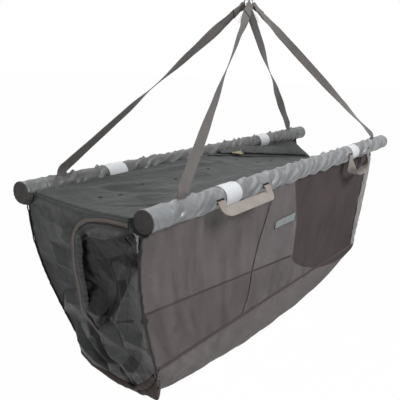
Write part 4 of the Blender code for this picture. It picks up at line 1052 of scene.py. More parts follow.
def sleeve_lift(s, side, along, turn):
    """How far the gathered cloth stands off its smooth tube: slanting ridges with sharp tops."""
    seed = 21 if side == "front" else 34
    loose = 0.75 + 0.5 * waver(along / 0.110, turn * 0.5, seed + 9)
    lift = np.zeros_like(along)
    for pitch, twist, weight in ((0.052, 4, 1.0), (0.031, 5, 0.6), (0.080, 2, 0.7)):
        drift = 1.7 * waver(along / (pitch * 2.4), turn * 0.45, seed + twist)
        ridge = np.abs(np.sin((twist * turn + along * 2 * pi / pitch) / 2 + drift))
        lift += weight * (0.65 - 1.2 * ridge ** 1.1)
    lift = s.gather_height * (lift * loose + 0.10 * crumple(along, turn * 0.02, 0.030, seed))
    calm = np.ones_like(along)
    for spot, reach in calm_places(s, side):
        calm = np.minimum(calm, ease((np.abs(along - spot) - reach) / 0.016))
    return np.maximum(lift, -0.0012) * (0.12 + 0.88 * calm)


def tube_grid(s, side, start, end, radius, rows, columns=56):
    """Places round a pole; radius gives a distance from its axis for along and turn."""
    share, around = grid(rows, columns)
    along, turn = mix(start, end, share), -2 * pi * around + pi / 2
    centre = side_of(side)[1] * s.half_spacing
    reach = radius(along, turn)
    return to_points(along, centre + reach * np.cos(turn), reach * np.sin(turn))


class SLING_OT_sleeves(bpy.types.Operator):
    """Gathered sleeves over the floats, slit where the straps and handles come out"""

    bl_idname = "sling.sleeves"
    bl_label = "Sleeves"

    def execute(self, context):
        s = context.scene.sling_sizes
        for side in SIDES:
            self.make(s, side)
        return {"FINISHED"}

    def make(self, s, side):
        end = s.half_length - s.cuff_length - s.fit
        middle = s.sleeve_inner + s.cloth / 2
        rows, columns = 420, 64
        points = tube_grid(s, side, -end, end, lambda along, turn: middle + sleeve_lift(s, side, along, turn),
                           rows, columns)
        smooth = tube_grid(s, side, -end, end, lambda along, turn: middle, rows, columns)
        keep = np.ones((rows, columns), bool)
        share, around = grid(rows, columns)
        along = mix(-end, end, share)[:-1, :-1] + end / rows
        turn = (-2 * pi * around + pi / 2)[:-1, :-1] - pi / columns
        out = 0.0 if side == "back" else -pi
        slits = [(way * STRAP_SHARE * s.half_length, pi / 2) for way in (-1, 1)]
        for name, pair in HANDLE_SHARES.items():
            if name.startswith(side):
                slits += [(s.half_length * part, out) for part in pair]
        for spot, angle in slits:
            gap = np.abs((turn - angle + pi) % (2 * pi) - pi)
            keep &= ~((np.abs(along - spot) < s.webbing_width / 2 + 0.0006) & (gap < 0.20))
        # Painted shade in the gathers' valleys: where the cloth lies low it is mixed up to half way to the
        # painted shade colour
        lift = np.hypot(points[..., 1] - side_of(side)[1] * s.half_spacing, points[..., 2]) - middle
        painted_valley_shade = 0.5 * ease((0.0016 - lift) / 0.0030)
        mesh = grid_mesh(f"sleeve_cloth_{side}", place(s, points), True, keep, painted_valley_shade)
        piece = show(f"sleeve_cloth_{side}", mesh, f"glazed_nylon_{side}_sleeve", "sleeve_fabric",
                     stands_for=[f"sleeve_{side}"])
        thicken(piece, s.cloth * 0.8)


class SLING_OT_cuffs(bpy.types.Operator):
    """Plain cuffs with a seam ring, and the cloth discs that close them"""

    bl_idname = "sling.cuffs"
    bl_label = "Cuffs and end discs"

    def execute(self, context):
        s = context.scene.sling_sizes
        for side in SIDES:
            for hand, way in zip(HANDS, (-1, 1)):
                self.cuff(s, side, hand, way)
                self.disc(s, side, hand, way)
        return {"FINISHED"}

    def cuff(self, s, side, hand, way):
        start, end = way * (s.half_length - s.cuff_length), way * s.half_length
        seed = 50 + 3 * (side == "front") + (way > 0)

        def radius(along, turn):
            far = np.abs(along - start)
            seam = 0.0010 * np.exp(-((far - 0.003) / 0.0016) ** 2)
            hemmed = 0.0008 * np.exp(-((s.cuff_length - far - 0.003) / 0.002) ** 2)
            drape = 0.0009 * waver(far / 0.030 + turn * 0.4, turn * 0.9, seed)
            fine = 0.0006 * crumple(far, turn * 0.02, 0.020, seed)
            return s.sleeve_radius - s.cloth / 2 + seam + hemmed + (drape + fine) * ease(far / 0.01)

        points, smooth = (tube_grid(s, side, start, end, reach, 44)
                          for reach in (radius, lambda along, turn: s.sleeve_radius))
        show_sheet(s, f"cuff_cloth_{side}_{hand}", points, smooth,
                   (f"glazed_nylon_{side}_cuff", "cuff_fabric"), s.cloth * 0.8,
                   ("stretched", [f"float_{side}"]), True, stands_for=[f"cuff_{side}_{hand}"])

    def disc(self, s, side, hand, way):
        share, around = grid(16, 56)
        turn = 2 * pi * around
        radius = s.sleeve_radius + 0.0004
        reach = share * radius
        rim = 0.0011 * np.exp(-((share - 0.90) / 0.05) ** 2)
        pucker = 0.0004 * np.cos(18 * turn) * share ** 3 + 0.0006 * waver(share * 2, turn, 60 + way)
        along = way * (s.half_length + 0.0004 + rim + pucker + 0.0008 * (1 - share ** 2))
        centre = side_of(side)[1] * s.half_spacing
        points = to_points(along, centre + reach * np.cos(turn), reach * np.sin(turn))
        piece = show(f"end_disc_{side}_{hand}", grid_mesh("disc", place(s, points), True),
                     "dull_nylon_end_disc", "disc_fabric", stands_for=[f"disc_{side}_{hand}"])
        thicken(piece, s.cloth * 0.5)


class SLING_OT_bands(bpy.types.Operator):
    """Reflective bands sewn round the sleeves"""

    bl_idname = "sling.bands"
    bl_label = "Reflective bands"

    def execute(self, context):
        s = context.scene.sling_sizes
        for side in SIDES:
            for hand in HANDS:
                self.band(s, side, hand, s.half_length * BAND_SHARES[hand])
        return {"FINISHED"}

    def band(self, s, side, hand, centre):
        half = s.band_width / 2
        radius = s.sleeve_radius + s.fit + s.band_thickness / 2

        def rippled(along, turn):
            edge = np.abs(along - centre) / half
            drape = 0.0009 * waver(along / 0.03, turn * 0.9, 70)
            fine = 0.0004 * crumple(along, turn * 0.02, 0.02, 2)
            return radius + 0.0001 + (drape + fine) * 0.4 - 0.0004 * edge ** 6

        points, smooth = (tube_grid(s, side, centre - half, centre + half, reach, 30)
                          for reach in (rippled, lambda along, turn: radius))
        show_sheet(s, f"band_tape_{side}_{hand}", points, smooth, ("glass_bead_tape", "band_reflective"),
                   s.band_thickness * 0.7, ("stretched", [f"sleeve_cloth_{side}"]), True,
                   stands_for=[f"band_{side}_{hand}"])
        turn = np.linspace(0, 2 * pi, 90)
        out = to_points(0 * turn, np.cos(turn), np.sin(turn))
        for edge, way in zip(HANDS, (-1, 1)):
            at = np.full_like(turn, centre + way * (half - 0.0035))
            path = tube_centre(s, side) + X_AXIS * at[:, None] + out * (rippled(at, turn) + 0.0003)[:, None]
            show_stitches(f"band_stitches_{side}_{hand}_{edge}", place(s, path), out, WIDE_STITCHES,
                          ("pale_polyester_thread", "band_reflective"))


# Webbing

# Places across a strip of webbing, as shares of half its width
ACROSS_WEBBING = np.linspace(-1, 1, 7)


def webbing_grid(s, rows):
    """Rows of webbing from (middle, way across) pairs."""
    return np.array([[middle + side_way * s.webbing_width / 2 * part for part in ACROSS_WEBBING]
                     for middle, side_way in rows])


def show_webbing(s, name, points, look, **riding):
    piece = show(name, grid_mesh(name, place(s, points)), *look, **riding)
    round_off(piece, s.webbing)


def wrap_path(s, along, side, exit_way, reach):
    """Webbing from its exit out there onto a float and round it, as (middle, way across) pairs."""
    centre = tube_centre(s, side, along)
    out = np.asarray(exit_way, float)
    aside = np.cross(X_AXIS, out)
    seat = sqrt(s.wrap_radius ** 2 - s.wrap_turn ** 2)
    path = [(seat + s.wrap_turn + reach, 0.0)] if reach > 0 else []
    for step in range(6):
        turn = radians(90) * step / 5
        path.append((seat + s.wrap_turn * (1 - sin(turn)), s.wrap_turn * (1 - cos(turn))))
    start = atan2(s.wrap_turn, s.wrap_radius) * 1.25
    for step in range(1, 33):
        turn = mix(start, 2 * pi - start, step / 32)
        path.append((s.wrap_radius * cos(turn), s.wrap_radius * sin(turn)))
    return [(centre + out * outward + aside * sideways, X_AXIS) for outward, sideways in path]


def ring_grid(s, centre, way, tangent, axis):
    """Rows of a strap from its sewn tail, round the ring's wire, to where the taper ends."""
    wrap = s.ring_wire + s.ring_loop_ease + s.webbing / 2
    laid = (s.webbing + s.fit) / 2
    far = s.ring_radius + s.strap_tail
    path = [(mix(far, s.ring_radius + 2 * wrap, share), laid) for share in np.linspace(0, 0.85, 8)]
    path.append((s.ring_radius + 2 * wrap, (laid + wrap) / 2))
    for step in range(17):
        turn = radians(70) + radians(220) * step / 16
        path.append((s.ring_radius + wrap * cos(turn), wrap * sin(turn)))
    path.append((s.ring_radius + 2 * wrap, -(laid + wrap) / 2))
    path += [(mix(s.ring_radius + 2 * wrap, far, share), -laid) for share in np.linspace(0.15, 1, 8)]
    rows = []
    for radius, aside in path:
        free = ease((radius - s.ring_radius) / s.strap_taper)
        half = mix(s.ring_loop_width, s.webbing_width, free) / 2
        row = []
        for part in ACROSS_WEBBING:
            bend = part * half / s.ring_radius
            curved = centre + radius * (cos(bend) * way + sin(bend) * tangent)
            straight = centre + radius * way + part * half * tangent
            row.append(mix(curved, straight, ease(4 * free)) + aside * axis)
        rows.append(row)
    return rows


def strap_grid(s, name):
    """Webbing from the ring, turning on its way, through the sleeve's slit and round the float."""
    hand = side_of(name)[0]
    centre, _, axis = ring_frame(s, name)
    foot = tube_centre(s, name, hand * STRAP_SHARE * s.half_length)
    upright = s.wrap_radius + s.wrap_turn
    knee = foot + Z_AXIS * upright
    for _ in range(4):
        way = unit(knee - centre)
        lean = acos(-way[2])
        knee = foot + Z_AXIS * (upright + s.base_bend * tan(lean / 2))
    tangent = unit(X_AXIS - way[0] * way)
    normal = np.cross(way, tangent)
    rows = ring_grid(s, centre, way, tangent, axis * (1 if np.dot(axis, normal) > 0 else -1))
    start = s.ring_radius + s.strap_taper + s.strap_tail / 4
    reach = np.linalg.norm(knee - centre) - s.base_bend * tan(lean / 2)
    for step in range(65):
        far = mix(start, reach, step / 64)
        turn = radians(follow(STRAP_TURNS[name], far / reach)) * ease((far - start) / s.strap_taper)
        across_way = cos(turn) * tangent + sin(turn) * normal
        face = np.cross(way, across_way)
        rows.append([centre + way * far + across_way * part * s.webbing_width / 2 + face * 0.0005 * part ** 2
                     for part in ACROSS_WEBBING])
    level = unit(-Z_AXIS - way * np.dot(-Z_AXIS, way))
    pivot = knee - way * s.base_bend * tan(lean / 2) + level * s.base_bend
    for step in range(1, 9):
        turn = lean * step / 8
        turned = cos(turn) * way + sin(turn) * level
        middle = pivot + s.base_bend * (sin(turn) * way - cos(turn) * level)
        side_way = unit(X_AXIS - turned[0] * turned)
        rows.append([middle + side_way * part * s.webbing_width / 2 for part in ACROSS_WEBBING])
    wrap = wrap_path(s, foot[0], name, Z_AXIS, 0.0)[1:]
    return np.concatenate([np.array(rows), webbing_grid(s, wrap)])


class SLING_OT_straps(bpy.types.Operator):
    """Four hanging straps, each sewn to a ring and round a float"""

    bl_idname = "sling.straps"
    bl_label = "Hanging straps"

    def execute(self, context):
        s = context.scene.sling_sizes
        for name in CORNERS:
            show_webbing(s, f"strap_webbing_{name}", strap_grid(s, name),
                         ("polypropylene_strap_webbing", "strap_webbing"), stands_for=[f"strap_{name}"])
            self.stitches(s, name)
        return {"FINISHED"}

    def stitches(self, s, name):
        """A box of stitches on each face of a strap's sewn tail."""
        centre, way, axis = ring_frame(s, name)
        tangent = unit(X_AXIS - way[0] * way)
        near, far = (s.ring_radius + s.strap_tail * share for share in TAIL_BOX_SHARES)
        half = TAIL_BOX_HALF
        corners = ((near, -half), (near, half), (far, half), (far, -half), (near, -half), (far, half))
        lift = s.webbing + s.fit / 2 + 0.0002
        for face, facing in (("inner", -1), ("outer", 1)):
            seat = centre + axis * facing * lift
            path = np.concatenate([[seat + way * mix(a, c, part) + tangent * mix(b, d, part)
                                    for part in np.linspace(0, 1, 12)]
                                   for (a, b), (c, d) in zip(corners, corners[1:])])
            path = path[np.r_[True, np.linalg.norm(np.diff(path, axis=0), axis=1) > 1e-6]]
            show_stitches(f"strap_stitches_{name}_{face}", place(s, path), axis * facing, CLOSE_STITCHES,
                          ("polyester_thread", "strap_webbing"))


class SLING_OT_rings(bpy.types.Operator):
    """Steel rings, and the tubes, plugs and foam inside the sleeves"""

    bl_idname = "sling.rings"
    bl_label = "Rings, tubes, plugs and foam"

    def execute(self, context):
        for name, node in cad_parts.items():
            for start, chosen in (("ring_", "stainless_wire"), ("pole_", "drawn_aluminium_tube"),
                                  ("plug_", "moulded_polypropylene"), ("float_", "closed_cell_foam")):
                if name.startswith(start):
                    for slot in node.material_slots:
                        slot.material = finish(chosen)
        return {"FINISHED"}


def handle_centre(s, name):
    pair = [s.half_length * share for share in HANDLE_SHARES[name]]
    return np.array((sum(pair) / 2, side_of(name)[1] * (s.half_spacing + s.hinge_radius), 0.0))


def handle_span(name, s):
    return abs(HANDLE_SHARES[name][1] - HANDLE_SHARES[name][0]) * s.half_length / 2


def laid_handle_rows(s, name):
    """Flat webbing folded at two corners, standing out from the pole at a lean."""
    centre, span = handle_centre(s, name), handle_span(name, s)
    lean = radians(LAID_LEAN)
    down = -Z_AXIS * cos(lean) + side_of(name)[1] * Y_AXIS * sin(lean)
    laid = s.handle_laid_depth * LAID_SHARE
    flat = laid - s.handle_corner
    path = [((-span, flat * share), (0, 1)) for share in (0.0, 0.33, 0.66, 1.0)]
    for step in range(1, 13):
        turn = radians(90) * step / 12
        spot = (-span + s.handle_corner * (1 - cos(turn)), flat + s.handle_corner * sin(turn))
        path.append((spot, (sin(turn), cos(turn))))
    for share in np.linspace(-0.9, 0, 7):
        path.append(((share * (span - s.handle_corner), laid), (1, 0)))
    path += [((-spot[0], spot[1]), (way[0], -way[1])) for spot, way in reversed(path[:-1])]
    rows = []
    for (along, drop), (way_x, way_down) in path:
        middle = centre + X_AXIS * along + down * drop
        outward = np.cross(X_AXIS, down) * -side_of(name)[1]
        turn = radians(LAID_TURN) * way_x ** 2
        rows.append((middle, X_AXIS * way_down - (down * cos(turn) - outward * sin(turn)) * way_x))
    return rows


def hung_handle_rows(s, name):
    """Webbing hanging in a loop, which turns a quarter on its way down and back on its way up."""
    centre, span = handle_centre(s, name), handle_span(name, s)
    out = side_of(name)[1] * Y_AXIS

    def middle(share):
        drop = s.handle_hung_depth * sin(pi * share) ** 0.8
        return centre - X_AXIS * span * cos(pi * share) - Z_AXIS * drop

    rows = []
    for step in range(49):
        share = step / 48
        way = unit(middle(min(1, share + 0.01)) - middle(max(0, share - 0.01)))
        turn = radians(90) * ease(min(share, 1 - share) / 0.4)
        aim = X_AXIS * cos(turn) * (1 if share < 0.5 else -1) + out * sin(turn)
        rows.append((middle(share), unit(aim - np.dot(aim, way) * way)))
    return rows


class SLING_OT_handles(bpy.types.Operator):
    """Four webbing carry handles and the ends that they are sewn on with"""

    bl_idname = "sling.handles"
    bl_label = "Carry handles"

    def execute(self, context):
        s = context.scene.sling_sizes
        look = "polypropylene_handle_webbing", "handle_webbing"
        for name in CORNERS:
            laid = name == "front_left"
            rows = laid_handle_rows(s, name) if laid else hung_handle_rows(s, name)
            show_webbing(s, f"handle_webbing_{name}", webbing_grid(s, rows), look, body=f"{name}_handle",
                         stands_for=[f"handle_{name}"])
            side, across = name.split("_")[0], side_of(name)[1]
            lug = s.hinge_radius - s.webbing / 2 - s.fit * 1.5 - s.wrap_radius - s.wrap_turn
            for end, share in zip(("inner", "outer"), HANDLE_SHARES[name]):
                rows = wrap_path(s, s.half_length * share, side, across * Y_AXIS, lug)
                show_webbing(s, f"handle_end_{name}_{end}", webbing_grid(s, rows), look,
                             stands_for=[f"loop_{name}_{end}"])
        return {"FINISHED"}


# Walls and floor

def front_seam(down):
    """Where the front wall's upright seam runs, as a share of its length."""
    return mix(0.400, 0.290, down)


class SLING_OT_walls(bpy.types.Operator):
    """The long mesh walls, with their upright seams"""

    bl_idname = "sling.walls"
    bl_label = "Mesh walls"

    def execute(self, context):
        s = context.scene.sling_sizes
        part, down = grid(110, 90)
        left = part * front_seam(down)
        self.panel(s, "front", "left", left, down, "warp_knit_close", ["wall_front"])
        part, down = grid(170, 90)
        right = mix(front_seam(down), 1.0, part)
        self.panel(s, "front", "right", right, down, "warp_knit_open", ())
        part, down = grid(280, 90)
        self.panel(s, "back", "whole", part, down, "warp_knit_back", ["wall_back"])
        down = np.linspace(0.02, 0.98, 120)
        self.tape(s, "front_upright", "front", front_seam(down), down, s.upright_tape)
        share = np.linspace(0.004, 0.996, 240)
        for side in SIDES:
            self.tape(s, f"{side}_bottom", side, share, np.full_like(share, 0.985), s.bottom_tape)
        self.edge_strip(s)
        self.label(s)
        return {"FINISHED"}

    def panel(self, s, side, which, share, down, material, stands_for):
        show_sheet(s, f"wall_mesh_{side}_{which}", wall_cloth(s, side, share, down),
                   wall_points(s, side, share, down), (material, "wall_mesh"), s.cloth * 0.5,
                   ("hung", [f"sleeve_cloth_{side}"]), stands_for=stands_for)

    def tape(self, s, name, side, share, down, width):
        """Doubled mesh sewn along a seam."""
        out = side_of(side)[1] * Y_AXIS
        path = wall_cloth(s, side, share, down) + out * 0.0008
        show_line(s, f"seam_tape_{name}", path, out,
                  flat_section(width, 0.0007, 0.0006), ("warp_knit_doubled", "wall_mesh"))

    def edge_strip(self, s):
        """The right end's cloth, pulled round the corner and crumpled."""
        part, down = grid(26, 150)
        start = 0.966 + 0.006 * waver(down * 9, 0.0, 81) - 0.008 * np.sin(pi * down)
        share = mix(start, 0.9995, part)
        points = wall_cloth(s, "front", share, mix(0.03, 0.97, down))
        height = 0.0022 + 0.0035 * np.sin(pi * part) * (0.5 + waver(down * 14, part * 1.2, 82))
        height += 0.0012 * crumple(points[..., 0], points[..., 2], 0.022, 83)
        points[..., 1] -= np.maximum(0.0012, height)
        show_sheet(s, "wall_edge_strip", points, points, ("coated_polyester_edge", "end_fabric"),
                   s.cloth * 0.5, ("folded", ["wall_mesh_front_right"]))

    def label(self, s):
        """Bare taffeta label with a folded border, sewn on all round."""
        def on_label(across, down):
            depth = s.label_depth + s.label_height * (down - 0.5)
            along = s.label_along + s.label_width * (across - 0.5)
            level = (depth - s.hem) / (seam_depth(s, 0.5, False) - s.seam_gap / 2 - s.hem)
            left = left_end_x(s, -s.half_spacing, depth) + s.panel_gap
            right = right_end_x(s, -s.half_spacing, depth) - s.panel_gap
            points = wall_cloth(s, "front", (along - left) / (right - left), level)
            points[..., 1] -= 0.0016 + 0.0005 * waver(across * 5, down * 2, 91)
            return points

        points = on_label(*grid(60, 16))
        show_sheet(s, "label_taffeta", points, points, ("taffeta_label", "label_woven"), 0.0006,
                   ("stretched", ["wall_mesh_front_right"]), stands_for=["wall_label"])
        part = np.linspace(0, 1, 40)
        for name, inset in (("border", 0.0), ("stitches", 0.12)):
            near, far = inset / 5, 1 - inset / 5
            corners = ((near, inset), (far, inset), (far, 1 - inset), (near, 1 - inset), (near, inset))
            path = np.concatenate([on_label(mix(a, c, part), mix(b, d, part))[:-1]
                                   for (a, b), (c, d) in zip(corners, corners[1:])])
            path[:, 1] -= 0.0004
            if name == "border":
                show_line(s, "label_border", path, -Y_AXIS, round_section(0.0007, 0.0),
                          ("folded_polyester_binding", "label_woven"))
            else:
                show_stitches("label_stitches", place(s, path), -Y_AXIS, 0.0030,
                              ("pale_polyester_thread", "label_woven"))


class SLING_OT_floor(bpy.types.Operator):
    """The mesh floor, hanging in a belly between the walls"""

    bl_idname = "sling.floor"
    bl_label = "Mesh floor"

    def execute(self, context):
        s = context.scene.sling_sizes
        share, over = grid(260, 70)
        show_sheet(s, "floor_cloth", floor_cloth(s, share, over), floor_points(s, share, over),
                   ("warp_knit_floor", "floor_mesh"), s.cloth * 0.5,
                   ("hung", ["wall_mesh_front_left", "wall_mesh_back_whole"]), stands_for=["floor_mesh"])
        return {"FINISHED"}


# Ends, lid and flap

# Materials and slots that several pieces share, and what hangs from both sleeves
END_LOOK = "coated_polyester_end", "end_fabric"
BINDING_LOOK = "folded_polyester_binding", "end_fabric"
DOUBLED_LOOK = "warp_knit_doubled", "floor_mesh"
LID_LOOK = "coated_polyester_lid", "lid_fabric"
BOTH_SLEEVES = ["sleeve_cloth_front", "sleeve_cloth_back"]


def end_top(s, along, across, rear_edge):
    """Depth of an end panel's top edge: under the lid or round a pole."""
    beside = np.abs(across) - s.half_spacing
    round_pole = np.sqrt(np.maximum(0.0, s.hem ** 2 - beside ** 2)) + s.fit
    share = np.minimum(1.0, (across + s.lid_edge) / (rear_edge + s.lid_edge))
    below_lid = s.cloth / 2 + 2 * s.fit - lid_height(s, along, share)
    return np.where(np.abs(beside) < s.hem, round_pole, below_lid)


def end_grid(s, along, share, columns, rows):
    """Across and depth of each place on an end panel."""
    turns = np.radians(np.linspace(0, 90, 13))
    arcs = s.half_spacing - s.hem * np.sin(turns)
    inner = np.linspace(-arcs[-1], arcs[-1], columns - 23)[1:-1]
    tops = np.concatenate([-arcs, inner, arcs[::-1]])
    over = (tops + s.half_spacing) / s.pole_spacing
    low = mix(-s.half_floor, s.half_floor, over)
    top = end_top(s, along, tops, zip_line(s, along)[0])
    bottom = floor_depth(s, share, over) + s.cloth / 2
    depth = mix(top[:, None], bottom[:, None], np.linspace(0, 1, rows + 1)[None, :])
    waist = np.clip((depth - s.hem) / (s.seam_front_left - s.hem), 0, 1)
    return mix(tops[:, None], low[:, None], waist), depth


def door_outline(s):
    zip_points = [(y * s.half_spacing, z * s.end_depth) for y, z in DOOR_SHARES]
    fold = [(y * s.half_spacing, z * s.end_depth) for y, z in DOOR_FOLD_SHARES]
    return np.array(zip_points + fold[::-1])


def inside_outline(outline, across, depth):
    inside = np.zeros(across.shape, bool)
    for (y1, z1), (y2, z2) in zip(outline, np.roll(outline, -1, axis=0)):
        crosses = (z1 > depth) != (z2 > depth)
        with np.errstate(divide="ignore", invalid="ignore"):
            at = (y2 - y1) * (depth - z1) / (z2 - z1) + y1
        inside ^= crosses & (across < at)
    return inside


def onto_outline(outline, across, depth):
    """Nearest places on the outline to given ones."""
    best = np.full(across.shape, np.inf)
    near_y, near_z = across.copy(), depth.copy()
    for (y1, z1), (y2, z2) in zip(outline, np.roll(outline, -1, axis=0)):
        run = max((y2 - y1) ** 2 + (z2 - z1) ** 2, 1e-12)
        share = np.clip(((across - y1) * (y2 - y1) + (depth - z1) * (z2 - z1)) / run, 0, 1)
        y, z = mix(y1, y2, share), mix(z1, z2, share)
        gap = np.hypot(across - y, depth - z)
        closer = gap < best
        best = np.where(closer, gap, best)
        near_y, near_z = np.where(closer, y, near_y), np.where(closer, z, near_z)
    return near_y, near_z


def left_end_lift(s, across, depth):
    """How far the left end's cloth stands out in folds and creases."""
    creases = [(u * s.half_spacing, v * s.end_depth, height) for u, v, height in END_CREASES]
    lift = CREASE_DEPTH * facet_height(across, depth, creases)
    lift += 0.0012 * crumple(across, depth, 0.045, 4) + waves(across, depth, (0.0008, 0.05, 0.09, 8))
    edge = (half_width(s, depth) - np.abs(across)) / 0.006
    zip_table = np.array(DOOR_SHARES) * (s.half_spacing, s.end_depth)
    zip_table = np.concatenate([zip_table, zip_table[::-1]])
    near_y, near_z = onto_outline(zip_table, across, depth)
    beside = np.hypot(across - near_y, depth - near_z)
    return lift * ease(edge) * ease((depth - 0.004) / 0.012) * (0.15 + 0.85 * ease((beside - 0.004) / 0.016))


def left_end_top(s, across, depth):
    """How far the left end's top is tucked in under the lid's rolled edge."""
    under = depth + lid_height(s, -s.half_length, (across + s.lid_edge) / (2 * s.lid_edge))
    return LID_ROLL * 0.45 * (1 - ease(under / LID_ROLL)) * (np.abs(across) < s.lid_edge)


def on_left_end(s, across, depth):
    """Places on the left end's creased cloth."""
    across, depth = np.broadcast_arrays(np.asarray(across, float), np.asarray(depth, float))
    along = left_end_x(s, across, depth) - left_end_lift(s, across, depth) + left_end_top(s, across, depth)
    return to_points(along, across, -depth)


def left_end_line(s, table, count):
    """Places and outward normals along a line on the left end, given in shares."""
    line = follow_points(table, count) * (s.half_spacing, s.end_depth)
    path = on_left_end(s, line[:, 0], line[:, 1])
    normals = surface_normals(lambda u, v: on_left_end(s, u, v), line[:, 0], line[:, 1])
    normals *= np.sign(-normals[:, :1])
    for _ in range(6):
        normals[1:-1] = (normals[:-2] + normals[1:-1] + normals[2:]) / 3
    return path, normals / np.linalg.norm(normals, axis=1, keepdims=True)


def painted_end_shade(s, across, depth):
    """1 where the left end's cloth is painted dark as painted shade, with a soft edge, and 0 elsewhere."""
    total = np.zeros(across.shape)
    for place_shares in END_PAINTED_SHADE_PLACES:
        outline = np.array(place_shares) * (s.half_spacing, s.end_depth)
        near_y, near_z = onto_outline(outline, across, depth)
        gap = np.hypot(across - near_y, depth - near_z)
        inside = inside_outline(outline, across, depth)
        total = np.maximum(total, ease(0.5 + np.where(inside, gap, -gap) / 0.0045))
    return total


